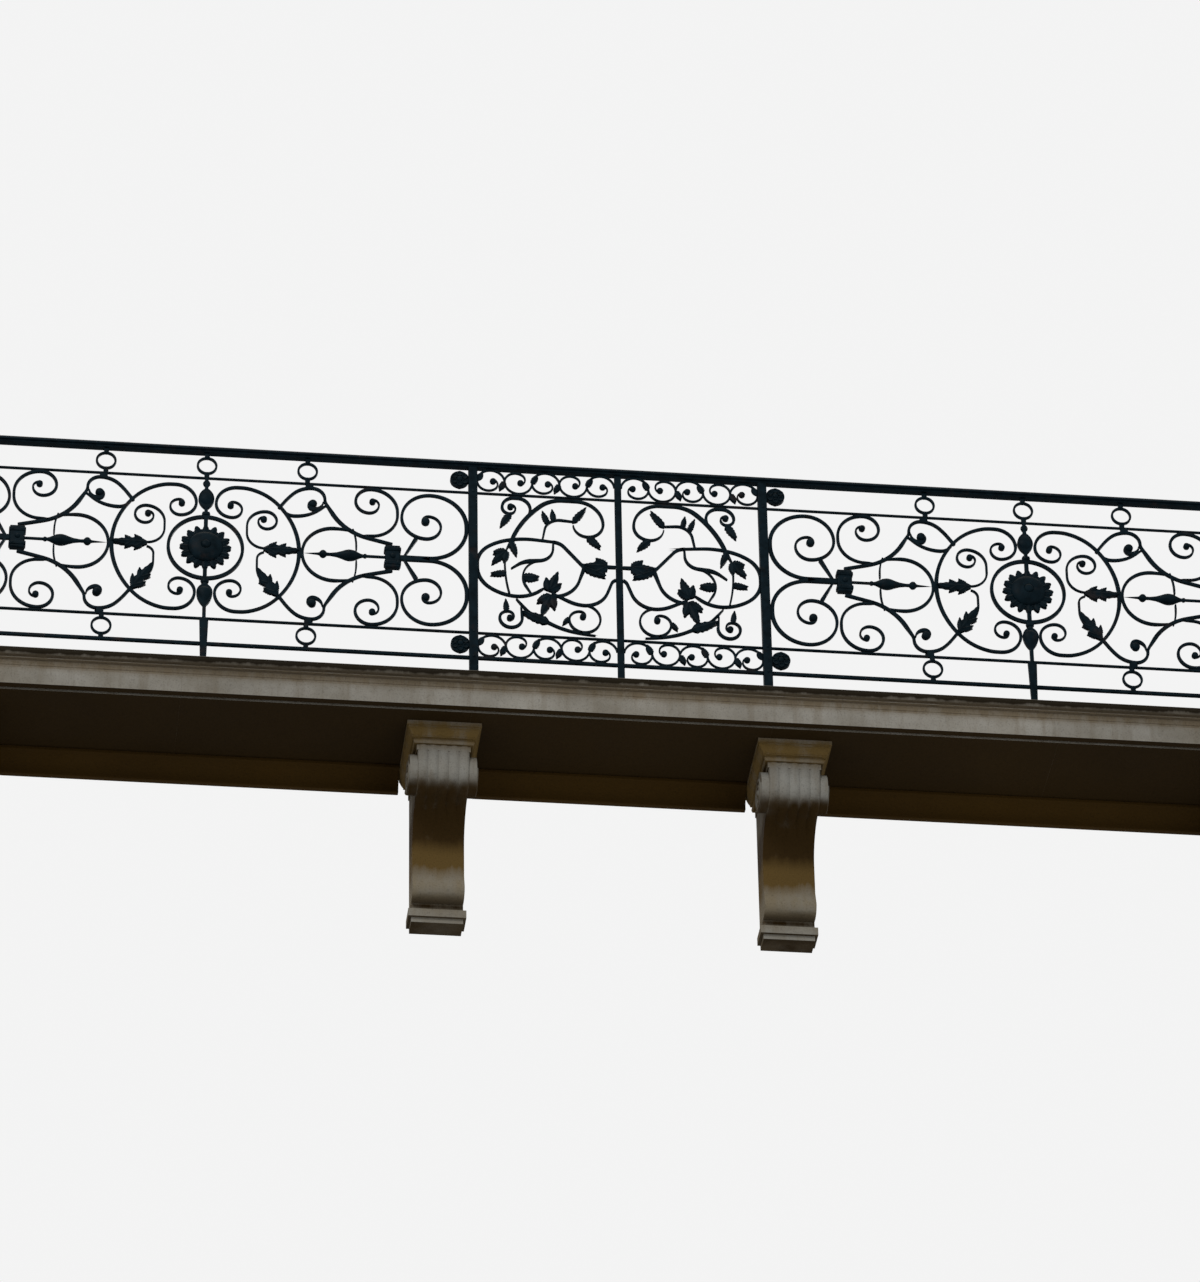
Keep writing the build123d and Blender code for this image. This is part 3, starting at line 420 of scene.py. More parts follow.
# Hand tools
class Bench:
    """The few moves that every piece is made with."""

    @staticmethod
    def clear() -> None:
        """Nothing stays selected and no object is being edited."""
        if bpy.context.object and bpy.context.object.mode != "OBJECT":
            bpy.ops.object.mode_set(mode="OBJECT")
        bpy.ops.object.select_all(action="DESELECT")

    @staticmethod
    def hold(piece: Object) -> None:
        """Selects one piece and makes it the active one.

        Args:
            piece: the piece.
        """
        Bench.clear()
        piece.select_set(True)
        bpy.context.view_layer.objects.active = piece

    @staticmethod
    def edit(piece: Object) -> None:
        """Opens a piece in edit mode with all of it selected.

        Args:
            piece: the piece.
        """
        Bench.hold(piece)
        bpy.ops.object.mode_set(mode="EDIT")
        bpy.ops.mesh.select_all(action="SELECT")

    @staticmethod
    def settle(piece: Object) -> None:
        """Puts a piece's place into its mesh, so that its object sits at the origin."""
        Bench.hold(piece)
        bpy.ops.object.transform_apply(location=True, rotation=True, scale=True)

    @staticmethod
    def pick(piece: Object, test: Callable[[Vector], bool]) -> None:
        """Selects the vertices that pass a test and stays in edit mode.

        Args:
            piece: the piece.
            test: says of a vertex's place whether it is picked.
        """
        Bench.hold(piece)
        bpy.ops.object.mode_set(mode="EDIT")
        bpy.ops.mesh.select_mode(type="VERT")
        bpy.ops.mesh.select_all(action="DESELECT")
        bpy.ops.object.mode_set(mode="OBJECT")
        for vertex in piece.data.vertices:
            vertex.select = bool(test(vertex.co))
        bpy.ops.object.mode_set(mode="EDIT")

    @staticmethod
    def close(piece: Object, degrees: float) -> None:
        """Ends a drawn or spun piece.

        Args:
            piece: the piece, which gets its place, whole corners and faces that point outwards.
            degrees: the angle up to which it is shaded smooth.
        """
        Bench.settle(piece)
        Bench.edit(piece)
        bpy.ops.mesh.remove_doubles(threshold=2 * SAME_CORNER)
        bpy.ops.mesh.normals_make_consistent(inside=False)
        Bench.smooth(piece, degrees)

    @staticmethod
    def smooth(piece: Object, degrees: float) -> None:
        """Shades a piece smooth up to an angle in degrees."""
        Bench.hold(piece)
        bpy.ops.object.shade_smooth_by_angle(angle=math.radians(degrees))

    @staticmethod
    def modify(piece: Object, kind: str, **settings: object) -> None:
        """Applies a modifier.

        Args:
            piece: the piece.
            kind: the modifier's type.
            settings: its settings.
        """
        Bench.hold(piece)
        modifier = piece.modifiers.new(kind, kind)
        for name, value in settings.items():
            setattr(modifier, name, value)
        bpy.ops.object.modifier_apply(modifier=modifier.name)

    @staticmethod
    def soften(piece: Object, width: float, degrees: float, segments: int = 2, clamp: bool = True) -> None:
        """Rounds the sharp edges of a piece.

        Args:
            piece: the piece.
            width: the bevel's width in metres.
            degrees: the sharpest angle that is left alone.
            segments: the facets across it.
            clamp: false where short facets would thin the bevel to nothing.
        """
        sharp = {"limit_method": "ANGLE", "angle_limit": math.radians(degrees)}
        Bench.modify(piece, "BEVEL", width=width, segments=segments, use_clamp_overlap=clamp, **sharp)
        Bench.smooth(piece, degrees)
        Bench.modify(piece, "WEIGHTED_NORMAL", keep_sharp=True)

    @staticmethod
    def add(name: str, data: ID, place: Matrix | None = None) -> Object:
        """Adds an object to the scene.

        Args:
            name: its name.
            data: its mesh, camera or lamp.
            place: its place, or None for the origin.

        Returns:
            The object.
        """
        made = bpy.data.objects.new(name, data)
        bpy.context.scene.collection.objects.link(made)
        if place is not None:
            made.matrix_world = place
        return made

    @staticmethod
    def copy_of(node: str, name: str, merge: float = SAME_CORNER) -> Object:
        """A merged copy of a CAD node.

        Args:
            node: the node's name.
            name: the new piece's name.
            merge: how near two corners are that become one, in metres.

        Returns:
            The copy, at the origin, riding on nothing yet.
        """
        piece = Bench.add(name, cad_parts[node].data.copy())
        piece.data.materials.clear()
        Bench.edit(piece)
        bpy.ops.mesh.remove_doubles(threshold=merge)
        bpy.ops.mesh.dissolve_limited(angle_limit=math.radians(SAME_FACET))
        bpy.ops.mesh.select_all(action="SELECT")
        bpy.ops.mesh.quads_convert_to_tris(quad_method="BEAUTY", ngon_method="BEAUTY")
        bpy.ops.object.mode_set(mode="OBJECT")
        return piece

    @staticmethod
    def block(middle: tuple, sizes: tuple, edge: float, segments: int) -> Object:
        """A block with rounded edges.

        Args:
            middle: its middle, in metres.
            sizes: its sizes.
            edge: how wide its edges are rounded.
            segments: the facets across an edge.

        Returns:
            The block.
        """
        Bench.clear()
        bpy.ops.mesh.primitive_cube_add(size=1.0, location=middle, scale=sizes)
        made = bpy.context.object
        Bench.settle(made)
        Bench.soften(made, edge, STONE_ANGLE, segments)
        return made

    @staticmethod
    def join(pieces: list[Object], name: str) -> Object:
        """Joins pieces into one.

        Args:
            pieces: the pieces, the first of which keeps its place.
            name: the name of the whole.

        Returns:
            The joined piece.
        """
        whole = pieces[0]
        Bench.hold(whole)
        for piece in pieces[1:]:
            piece.select_set(True)
        if len(pieces) > 1:
            bpy.ops.object.join()
        whole.name = name
        whole.data.name = name
        return whole

    @staticmethod
    def stamp(master: Object, places: list[Matrix]) -> list[Object]:
        """Copies of a master, each with its own mesh, at the places given.

        Args:
            master: the finished master.
            places: a matrix for each copy.

        Returns:
            The copies, with their places in their meshes.
        """
        copies = [Bench.add(master.name + "_copy", master.data.copy(), place) for place in places]
        Bench.clear()
        for copy in copies:
            copy.select_set(True)
        bpy.context.view_layer.objects.active = copies[0]
        bpy.ops.object.transform_apply(location=True, rotation=True, scale=True)
        return copies

    @staticmethod
    def bin(piece: Object) -> None:
        """Takes a master away once it has been copied.

        Args:
            piece: the master.
        """
        mesh = piece.data
        bpy.data.objects.remove(piece)
        bpy.data.meshes.remove(mesh)

    @staticmethod
    def finish(piece: Object, material: Material, slot: Slot, node: str) -> None:
        """Dresses a piece and hands it to the frame.

        Args:
            piece: the piece.
            material: its material.
            slot: the record's slot; not used.
            node: the CAD node that it stands for.
        """
        piece.data.materials.clear()
        piece.data.materials.append(material)
        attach(piece, "root")
        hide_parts(node)
        log.info("%s: %d faces", piece.name, len(piece.data.polygons))


# Places
def placed(ways: tuple, spot: Vector) -> Matrix:
    """A place in the scene.

    Args:
        ways: the ways that a piece's +X, +Y and +Z point there.
        spot: where its origin goes, in metres.

    Returns:
        The matrix.
    """
    matrix = Matrix(ways).transposed().to_4x4()
    matrix.translation = spot
    return matrix


def pointing(spot: tuple, way: tuple, scale: tuple = UNSCALED) -> Matrix:
    """A place whose +Z points a given way.

    Args:
        spot: where the piece's origin goes, in metres.
        way: the way that its +Z points.
        scale: the piece's own scale.

    Returns:
        The matrix.
    """
    turned = Vector(way).to_track_quat("Z", "Y").to_matrix().to_4x4()
    return Matrix.Translation(Vector(spot)) @ turned @ Matrix.Diagonal((*scale, 1.0))


@dataclass(frozen=True)
class Face:
    """One face of the railing: its middle, the way it runs and the way it looks."""

    middle: tuple
    along: tuple = (1.0, 0.0, 0.0)
    out: tuple = (0.0, -1.0, 0.0)

    def place(
        self, u: float, w: float, heading: float = 0.0, lift: float = 0.0, scale: tuple = UNSCALED
    ) -> Matrix:
        """A place on the face, in millimetres.

        Args:
            u: millimetres along the face from its middle.
            w: millimetres up from its middle.
            heading: degrees from the way it runs, upwards, that the piece's +X points.
            lift: millimetres that the piece's root stands out from the railing's middle plane.
            scale: the piece's scale along, across and outwards.

        Returns:
            The matrix that takes the piece's +X to the heading and its +Z outwards.
        """
        turn = math.radians(heading)
        along, out = Vector(self.along), Vector(self.out)
        ahead = along * math.cos(turn) + Vector((0.0, 0.0, math.sin(turn)))
        spot = Vector(self.middle) + along * (u * MM) + Vector((0.0, 0.0, w * MM)) + out * (lift * MM)
        return placed((ahead * scale[0], out.cross(ahead) * scale[1], out * scale[2]), spot)


def both_faces(x: float) -> tuple[Face, Face]:
    """The street face and the house face of the front railing, about an upright axis at x."""
    middle = (x, RAILING_Y, PANEL_MID)
    return Face(middle), Face(middle, out=(0.0, 1.0, 0.0))


def return_faces(x: float, middle_y: float) -> tuple[Face, Face]:
    """The two faces of a return at x, which run outwards from the wall."""
    middle, ahead = (x, middle_y, PANEL_MID), (0.0, -1.0, 0.0)
    return Face(middle, ahead, (-1.0, 0.0, 0.0)), Face(middle, ahead, (1.0, 0.0, 0.0))


def ring_of(count: int, radius: float, shift: float = 0.0) -> list[tuple[float, float, float]]:
    """Places round a circle.

    Args:
        count: how many.
        radius: the circle's radius.
        shift: the share of a pitch by which the first is turned on.

    Returns:
        Each one's distance along and up from the middle, and its heading in degrees.
    """
    headings = [360.0 * (index + shift) / count for index in range(count)]
    turns = [(math.radians(heading), heading) for heading in headings]
    return [(radius * math.cos(turn), radius * math.sin(turn), heading) for turn, heading in turns]


def follow(spot: tuple, angle: float, size: float, turn: float) -> tuple[tuple, tuple, float]:
    """Follows one run of a bent bar.

    Args:
        spot: where the run starts.
        angle: the way it heads there, in radians.
        size: its length, or the radius of its arc.
        turn: the degrees that it turns to the left, or 0 where it is straight.

    Returns:
        The arc's middle, the run's end and the way it heads there.
    """
    x, y = spot
    if turn == 0:
        return spot, (x + size * math.cos(angle), y + size * math.sin(angle)), angle
    side = math.copysign(size, turn)
    x, y = x - side * math.sin(angle), y + side * math.cos(angle)
    angle += math.radians(turn)
    return (x, y), (x + side * math.sin(angle), y - side * math.cos(angle)), angle


@dataclass(frozen=True)
class Bar:
    """A scrolled bar's route to its eye, in millimetres on the railing's face."""

    start: tuple
    heading: float
    runs: tuple
    tip: float = 6.0
    eye: float = 13.0

    def eye_spot(self) -> tuple[float, float, float]:
        """Finds the bar's eye.

        Returns:
            How far its middle is along and up, and its radius, in millimetres.
        """
        spot, angle = self.start, math.radians(self.heading)
        for size, turn in self.runs:
            _, spot, angle = follow(spot, angle, size, turn)
        lean = math.copysign(self.eye - self.tip / 2, self.runs[-1][1])
        return spot[0] - lean * math.sin(angle), spot[1] + lean * math.cos(angle), self.eye


def eye_pairs(bars: tuple, shift: float = 0.0) -> list[tuple[float, float, float]]:
    """The eyes of bars that are mirrored below the axis.

    Args:
        bars: the bars above it.
        shift: how far the face's middle is along from where the bars are measured.

    Returns:
        The place and the radius of each, in millimetres.
    """
    spots = [bar.eye_spot() for bar in bars]
    return [(u - shift, hand * w, eye) for u, w, eye in spots for hand in (1, -1)]


@dataclass(frozen=True)
class LeafSpot:
    """Where a leaf grows: its root and heading on the face, its length and its width."""

    u: float
    w: float
    heading: float
    length: float
    width: float

    def mirrored(self) -> "LeafSpot":
        """The same leaf on the other side of the axis."""
        return LeafSpot(-self.u, self.w, 180.0 - self.heading, self.length, self.width)


# Masters
@dataclass
class Turned:
    """A turned piece: a ring that is drawn out along +Z, one station after another."""

    stations: tuple
    sides: int = 20
    shade: float = 40.0

    def build(self, name: str) -> Object:
        """The piece, in millimetres made metres, its axis on +Z.

        Args:
            name: the master's name.

        Returns:
            The finished master.
        """
        Bench.clear()
        level, radius = self.stations[0]
        foot = (0.0, 0.0, level * MM)
        bpy.ops.mesh.primitive_circle_add(
            vertices=self.sides, radius=radius * MM, fill_type="NGON", location=foot
        )
        piece = bpy.context.object
        piece.name = name
        Bench.edit(piece)
        for next_level, next_radius in self.stations[1:]:
            rise = (0.0, 0.0, (next_level - level) * MM)
            share = next_radius / radius
            bpy.ops.mesh.extrude_region_move(TRANSFORM_OT_translate={"value": rise})
            bpy.ops.transform.resize(value=(share, share, 1.0), center_override=(0.0, 0.0, next_level * MM))
            level, radius = next_level, next_radius
        Bench.close(piece, self.shade)
        return piece


@dataclass
class SpunBar:
    """A round bar bent in its own XY plane: straight lengths and turns follow one another."""

    radius: float
    steps: tuple
    sides: int
    facet: float
    shrink: float = 1.0
    shade: float = 50.0

    def build(self, name: str) -> Object:
        """The bar, which leaves the origin along +X. A step is (length, 0) or (radius, left turn).

        Args:
            name: the master's name.

        Returns:
            The finished master.
        """
        Bench.clear()
        upright = (0.0, math.pi / 2, 0.0)
        bpy.ops.mesh.primitive_circle_add(
            vertices=self.sides, radius=self.radius * MM, fill_type="NGON", rotation=upright
        )
        bar = bpy.context.object
        bar.name = name
        Bench.edit(bar)
        spot, angle = (0.0, 0.0), 0.0
        for size, turn in self.steps:
            start = spot
            middle, spot, angle = follow(start, angle, size * MM, turn)
            if turn == 0:
                ahead = (spot[0] - start[0], spot[1] - start[1], 0.0)
                bpy.ops.mesh.extrude_region_move(TRANSFORM_OT_translate={"value": ahead})
            else:
                facets = max(2, round(abs(turn) / self.facet))
                swept, axis = -math.radians(turn), (0.0, 0.0, 1.0)
                bpy.ops.mesh.spin(steps=facets, angle=swept, center=(*middle, 0.0), axis=axis)
            bpy.ops.transform.resize(value=(self.shrink,) * 3, center_override=(*spot, 0.0))
        Bench.close(bar, self.shade)
        return bar


@dataclass
class WroughtLeaf:
    """A hammered leaf with a raised rib, notched edges and a tip that curls outwards."""

    length: float = 0.1
    width: float = 0.04
    thickness: float = 0.0026
    rib: float = 0.0045
    curl: float = 0.005
    profile: tuple = (0.20, 0.62, 0.92, 0.74, 1.0, 0.80, 0.90, 0.62, 0.66, 0.40, 0.34, 0.04)
    rib_half: float = 0.01
    rib_end: float = 0.97
    shade: float = 50.0

    def build(self, name: str) -> Object:
        """The leaf, its root at the origin and its tip along +X.

        Args:
            name: the master's name.

        Returns:
            The finished master.
        """
        Bench.clear()
        last = len(self.profile) - 1
        bpy.ops.mesh.primitive_grid_add(x_subdivisions=last, y_subdivisions=4, size=1.0)
        leaf = bpy.context.object
        leaf.name = name
        leaf.scale = (self.length, self.width, 1.0)
        leaf.location = (self.length / 2, 0.0, 0.0)
        Bench.settle(leaf)
        near = self.length / (3 * last)
        for row, share in enumerate(self.profile):
            x = self.length * row / last
            Bench.pick(leaf, lambda co: abs(co.x - x) < near)
            bpy.ops.transform.resize(value=(1.0, share, 1.0), center_override=(x, 0.0, 0.0))
            bpy.ops.transform.translate(value=(0.0, 0.0, self.curl * (row / last) ** 3))
        half, end = self.width * self.rib_half, self.length * self.rib_end
        Bench.pick(leaf, lambda co: abs(co.y) < half and co.x < end)
        bpy.ops.transform.translate(value=(0.0, 0.0, self.rib))
        Bench.modify(leaf, "SOLIDIFY", thickness=self.thickness, offset=0.0)
        Bench.smooth(leaf, self.shade)
        return leaf


DOMED = ((-3.0, 14.4), (1.0, 14.6), (4.0, 12.8), (6.4, 9.4), (7.8, 5.0), (8.4, 0.3))
BOSS = Turned(DOMED, sides=16)


class Forge:
    """Keeps one master of each small piece that repeats and strikes copies of it."""

    def __init__(self) -> None:
        """Starts with no masters."""
        self.masters = {}

    def strike(self, name: str, design: Turned | SpunBar | WroughtLeaf, places: list[Matrix]) -> list[Object]:
        """Copies of a design at the places given.

        Args:
            name: the design's name, under which its master is kept.
            design: what the master is made from.
            places: a matrix for each copy.

        Returns:
            The copies.
        """
        if name not in self.masters:
            self.masters[name] = design.build(name + "_master")
        return Bench.stamp(self.masters[name], places)

    def bosses(self, faces: tuple, spots: list[tuple], lift: float = BAR_FACE) -> list[Object]:
        """Domed bosses on the faces given.

        Args:
            faces: the faces.
            spots: the place and the radius of each, in millimetres.
            lift: how far the face stands out.

        Returns:
            The bosses.
        """
        places = []
        for face in faces:
            for u, w, radius in spots:
                places.append(face.place(u, w, 0.0, lift, (radius / BOSS_RADIUS,) * 3))
        return self.strike("boss", BOSS, places)

    def leaves(self, faces: tuple, spots: list[LeafSpot], lift: float = BAR_FACE) -> list[Object]:
        """Notched leaves on the faces given.

        Args:
            faces: the faces.
            spots: where each grows.
            lift: how far the face stands out.

        Returns:
            The leaves.
        """
        places = []
        for face in faces:
            for spot in spots:
                scale = (spot.length / LEAF_LENGTH, spot.width / LEAF_WIDTH, 1.0)
                places.append(face.place(spot.u, spot.w, spot.heading, lift, scale))
        return self.strike("leaf", WroughtLeaf(), places)

    def garnish(self, faces: tuple, eyes: list, spots: list, lift: float = BAR_FACE) -> list[Object]:
        """The bosses in a panel's eyes and the leaves on its bars."""
        return self.bosses(faces, eyes, lift) + self.leaves(faces, spots, lift)

    def sweep(self) -> None:
        """Takes the masters away."""
        for master in self.masters.values():
            Bench.bin(master)


# Stone
def dressed(node: str, name: str) -> Object:
    """A copy of a stone with rounded arrises.

    Args:
        node: the stone's node.
        name: the copy's name.

    Returns:
        The copy.
    """
    stone = Bench.copy_of(node, name)
    Bench.soften(stone, STONE_ARRIS, STONE_ANGLE)
    return stone


@dataclass
class Slab:
    """The slab's five moulded stones."""

    finish: Limestone
    stones: int = 5

    def build(self) -> None:
        """Builds and dresses the stones."""
        material = self.finish.material()
        for number in range(1, self.stones + 1):
            node = f"slab_stone_{number}"
            Bench.finish(dressed(node, f"dressed_{node}"), material, Slot.STONE, node)


@dataclass
class Consoles:
    """The consoles, with reeds down their fronts and a volute on each cheek, and the bed mould."""

    finish: Limestone
    mould_finish: Limestone
    forge: Forge
    count: int = 4
    width: float = 206.0
    cheek: float = 133.0
    front: float = 373.0
    sunk: float = 1.0
    reeds: int = 5
    reed_radius: float = 36.0
    reed_sunk: float = 28.5
    reed_dive: float = 22.0
    reed_top: float = -170.5
    roll_level: float = -261.5
    roll_radius: float = 82.0
    throat_radius: float = 151.0
    throat_turn: float = -68.0
    cap_plates: tuple = ((-58.0, 9.0, 24.0), (-27.0, 7.0, 41.0))
    plate_edge: float = 0.0015
    bead: float = 7.0
    spiral: tuple = ((70, 180), (57, 180), (45, 180), (34, 180), (24, 180), (15, 150))
    taper: float = 0.94
    eye_back: float = 9.0
    eye_scale: tuple = (1.15, 1.15, 1.3)

    def build(self) -> None:
        """Builds and dresses the consoles and the mould between them."""
        carved = self.finish.material()
        for number in range(1, self.count + 1):
            node = f"console_{number}"
            name = f"carved_{node}"
            middle, _ = middle_of(node)
            console = dressed(node, name)
            pieces = [console] + self._reeds(middle) + self._volutes(middle) + self._fillets(middle)
            Bench.finish(Bench.join(pieces, name), carved, Slot.STONE, node)
        mould = dressed("bed_mould", "dressed_bed_mould")
        Bench.finish(mould, self.mould_finish.material(), Slot.STONE, "bed_mould")

    def _hung(self, x: float, y: float, z: float) -> Matrix:
        """A place x metres along, y mm out and z mm up, with +X down, +Y to the wall and +Z along it."""
        return placed(((0.0, 0.0, -1.0), (0.0, 1.0, 0.0), (1.0, 0.0, 0.0)), Vector((x, -y * MM, z * MM)))

    def _fillets(self, middle: float) -> list[Object]:
        """The square fillets round the cap: one over its bead and one under its lip.

        Args:
            middle: the console's middle, in metres.

        Returns:
            The fillets.
        """
        made = []
        for level, height, proud in self.cap_plates:
            reach = self.front + proud
            spot = (middle, -reach * MM / 2, SLAB_LOW + level * MM)
            sizes = ((self.width + 2 * proud) * MM, reach * MM, height * MM)
            made.append(Bench.block(spot, sizes, self.plate_edge, 2))
        return made

    def _reeds(self, middle: float) -> list[Object]:
        """The reeds, from the cap's bead down over the roll and the throat.

        Args:
            middle: the console's middle, in metres.

        Returns:
            The reeds.
        """
        drop = self.reed_top - self.roll_level
        over = self.roll_radius - self.reed_sunk
        under = self.throat_radius + self.reed_sunk + self.reed_dive
        steps = ((drop, 0), (over, 90), (under, self.throat_turn))
        reed = SpunBar(self.reed_radius, steps, sides=32, facet=11.0)
        pitch = self.width / self.reeds * MM
        along = [middle + (index - (self.reeds - 1) / 2) * pitch for index in range(self.reeds)]
        places = [self._hung(x, self.front - self.reed_sunk, self.reed_top) for x in along]
        reeds = self.forge.strike("reed", reed, places)
        for hand, outer in zip(HANDS, (reeds[0], reeds[-1])):
            edge = middle + hand * (self.width / 2 - self.sunk) * MM
            Bench.pick(outer, lambda co: (co.x - edge) * hand > 0.0)
            bpy.ops.transform.resize(value=(0.0, 1.0, 1.0), center_override=(edge, 0.0, 0.0))
        Bench.clear()
        return reeds

    def _volutes(self, middle: float) -> list[Object]:
        """The spiral and its eye on both cheeks of the roll.

        Args:
            middle: the console's middle, in metres.

        Returns:
            The spirals and the eyes.
        """
        spiral = SpunBar(self.bead, self.spiral, sides=10, facet=15.0, shrink=self.taper)
        centre = self.front - self.roll_radius
        places = []
        eyes = []
        for hand in HANDS:
            cheek = middle + hand * (self.cheek - self.sunk) * MM
            places.append(self._hung(cheek, centre + self.spiral[0][0], self.roll_level))
            spot = (cheek, -(centre - self.eye_back) * MM, self.roll_level * MM)
            eyes.append(pointing(spot, (hand, 0.0, 0.0), self.eye_scale))
        return self.forge.strike("spiral", spiral, places) + self.forge.strike("boss", BOSS, eyes)


# Iron
@dataclass
class Iron:
    """What every piece of iron shares: the paint, the forge and the round of an edge."""

    paint: Material
    forge: Forge
    edge: float = 0.0022
    same_corner: float = 0.0005

    def wrought(self, node: str, extras: list[Object] | None = None) -> None:
        """A softened copy of a node with what is struck on it, dressed.

        Args:
            node: the node's name.
            extras: the pieces on it.
        """
        name = f"wrought_{node}"
        scrolled = "scrollwork" in node or "frieze" in node
        piece = Bench.copy_of(node, name, self.same_corner if scrolled else SAME_CORNER)
        Bench.soften(piece, self.edge, IRON_ANGLE, clamp=not scrolled)
        Bench.finish(Bench.join([piece] + (extras or []), name), self.paint, Slot.IRON, node)


@dataclass
class Frame(Iron):
    """The posts, the rails and the handrail."""

    nodes: tuple = (
        "wall_post_left", "wall_post_right", "pier_centre_bar", "upper_rails", "lower_rails", "bottom_rails",
        "handrail_front", "handrail_left", "handrail_right",
    )
    posts: tuple = ("end_post_left", "pier_post_left", "pier_post_right", "end_post_right")
    rivet_levels: tuple = (101.0, 221.0, 903.0)
    rivet: float = 6.0
    post_face: float = 15.0

    def build(self) -> None:
        """Builds and dresses them, with rivets on the street face of each post."""
        for node in self.nodes:
            self.wrought(node)
        rivets = [(0.0, level - PANEL_LEVEL, self.rivet) for level in self.rivet_levels]
        for node in self.posts:
            street, _ = both_faces(middle_of(node)[0])
            self.wrought(node, self.forge.bosses((street,), rivets, self.post_face))


def oval_bars(first: float) -> tuple[Bar, Bar]:
    """The bars of the oval at a long axis's end and of the loop inside it.

    Args:
        first: how far the oval's bar runs straight before it bends, in millimetres.

    Returns:
        The oval's bar and the loop's.
    """
    oval = ((first, 0), (150, 90), (12, 0), (146, 90), (116, 90), (98, 90), (60, 90), (50, 90), (26, 90))
    loop = ((24, 0), (106, 90), (17, 0), (106, 90), (63, 90), (54, 90), (40, 90), (26, 90))
    return Bar((750, 6), 0, oval, 6, 17), Bar((640, 100), 0, loop)


@dataclass
class WindowPanel(Iron):
    """One of the two long panels of scrolled bars."""

    bars: tuple = (
        *oval_bars(149),
        Bar((470, 252), -92, ((38, -88), (20, -150)), 9, 17),
        Bar(
            (375, 0),
            90,
            ((345, 42), (220, 34), (150, 14), (16, 0), (84, 90), (64, 90), (40, 90), (36, 90), (20, 80)),
        ),
    )
    inner: Bar = Bar(
        (235, 12), 180, ((70, -90), (34, 0), (75, -90), (44, -90), (40, -90), (34, -90), (22, -90))
    )
    long_leaves: tuple = (LeafSpot(232, 8, 0, 138, 35), LeafSpot(293, -217, 124, 150, 35))
    lobe_places: tuple = (0.12, 0.44)
    lobe_spread: float = 40.0
    lobe_length: float = 0.36
    lobe_width: float = 0.65

    def build(self) -> None:
        """Builds and dresses both panels."""
        eyes = eye_pairs(self.bars) + [self.inner.eye_spot()]
        eyes += [(-u, w, eye) for u, w, eye in eyes]
        spots = [spot for leaf in self.long_leaves for spot in self._lobed(leaf)]
        spots += [spot.mirrored() for spot in spots]
        for side in SIDES:
            faces = both_faces(middle_of(f"{side}_medallion")[0])
            self.wrought(f"{side}_scrollwork", self.forge.garnish(faces, eyes, spots))

    def _lobed(self, leaf: LeafSpot) -> list[LeafSpot]:
        """A long leaf and the pairs of lobes along its rib.

        Args:
            leaf: the long leaf.

        Returns:
            The leaf and its lobes.
        """
        spots = [leaf]
        turn = math.radians(leaf.heading)
        for share in self.lobe_places:
            u = leaf.u + leaf.length * share * math.cos(turn)
            w = leaf.w + leaf.length * share * math.sin(turn)
            reach = leaf.length * self.lobe_length * (1 - share / 2)
            for hand in (1, -1):
                heading = leaf.heading + hand * self.lobe_spread
                spots.append(LeafSpot(u, w, heading, reach, leaf.width * self.lobe_width))
        return spots


@dataclass
class PierPanel(Iron):
    """The middle panel's two halves, with their sprays of leaves."""

    bars: tuple = (
        Bar((362, 244), 100, ((20, 0), (52, -100), (14, 0), (48, -90), (30, -90), (24, -90), (20, -90))),
        Bar((140, -182), 185, ((66, 170), (60, 90), (42, 100), (22, 100))),
        Bar((399, -204), -95, ((53, 0), (46, 100), (44, 90), (32, 90), (24, 90), (18, 70))),
    )
    sprays: tuple = (
        LeafSpot(284, -120, 112, 92, 34), LeafSpot(278, -144, -68, 106, 34),
        LeafSpot(458, 60, -48, 84, 30), LeafSpot(50, 10, 0, 90, 34),
    )
    single: tuple = (
        LeafSpot(140, 0, 205, 92, 34), LeafSpot(186, 220, 128, 88, 26), LeafSpot(128, 152, -136, 74, 28),
        LeafSpot(262, 222, 80, 50, 22), LeafSpot(286, 206, 66, 60, 22), LeafSpot(438, 248, -58, 78, 28),
        LeafSpot(440, 114, -110, 76, 26), LeafSpot(390, -62, 180, 64, 36), LeafSpot(457, -45, -10, 64, 24),
        LeafSpot(204, -248, -48, 42, 18), LeafSpot(456, -232, 84, 54, 22), LeafSpot(288, -275, 22, 112, 36),
    )
    spray_spread: float = 36.0
    spray_length: float = 0.62

    def build(self) -> None:
        """Builds and dresses both halves."""
        eyes = [bar.eye_spot() for bar in self.bars]
        spots = list(self.single)
        for leaf in self.sprays:
            spots.append(leaf)
            for hand in (1, -1):
                heading = leaf.heading + hand * self.spray_spread
                spots.append(LeafSpot(leaf.u, leaf.w, heading, leaf.length * self.spray_length, leaf.width))
        faces = both_faces(0.0)
        self.wrought("pier_right_scrollwork", self.forge.garnish(faces, eyes, spots))
        eyes = [(-u, w, eye) for u, w, eye in eyes]
        spots = [spot.mirrored() for spot in spots]
        self.wrought("pier_left_scrollwork", self.forge.garnish(faces, eyes, spots))


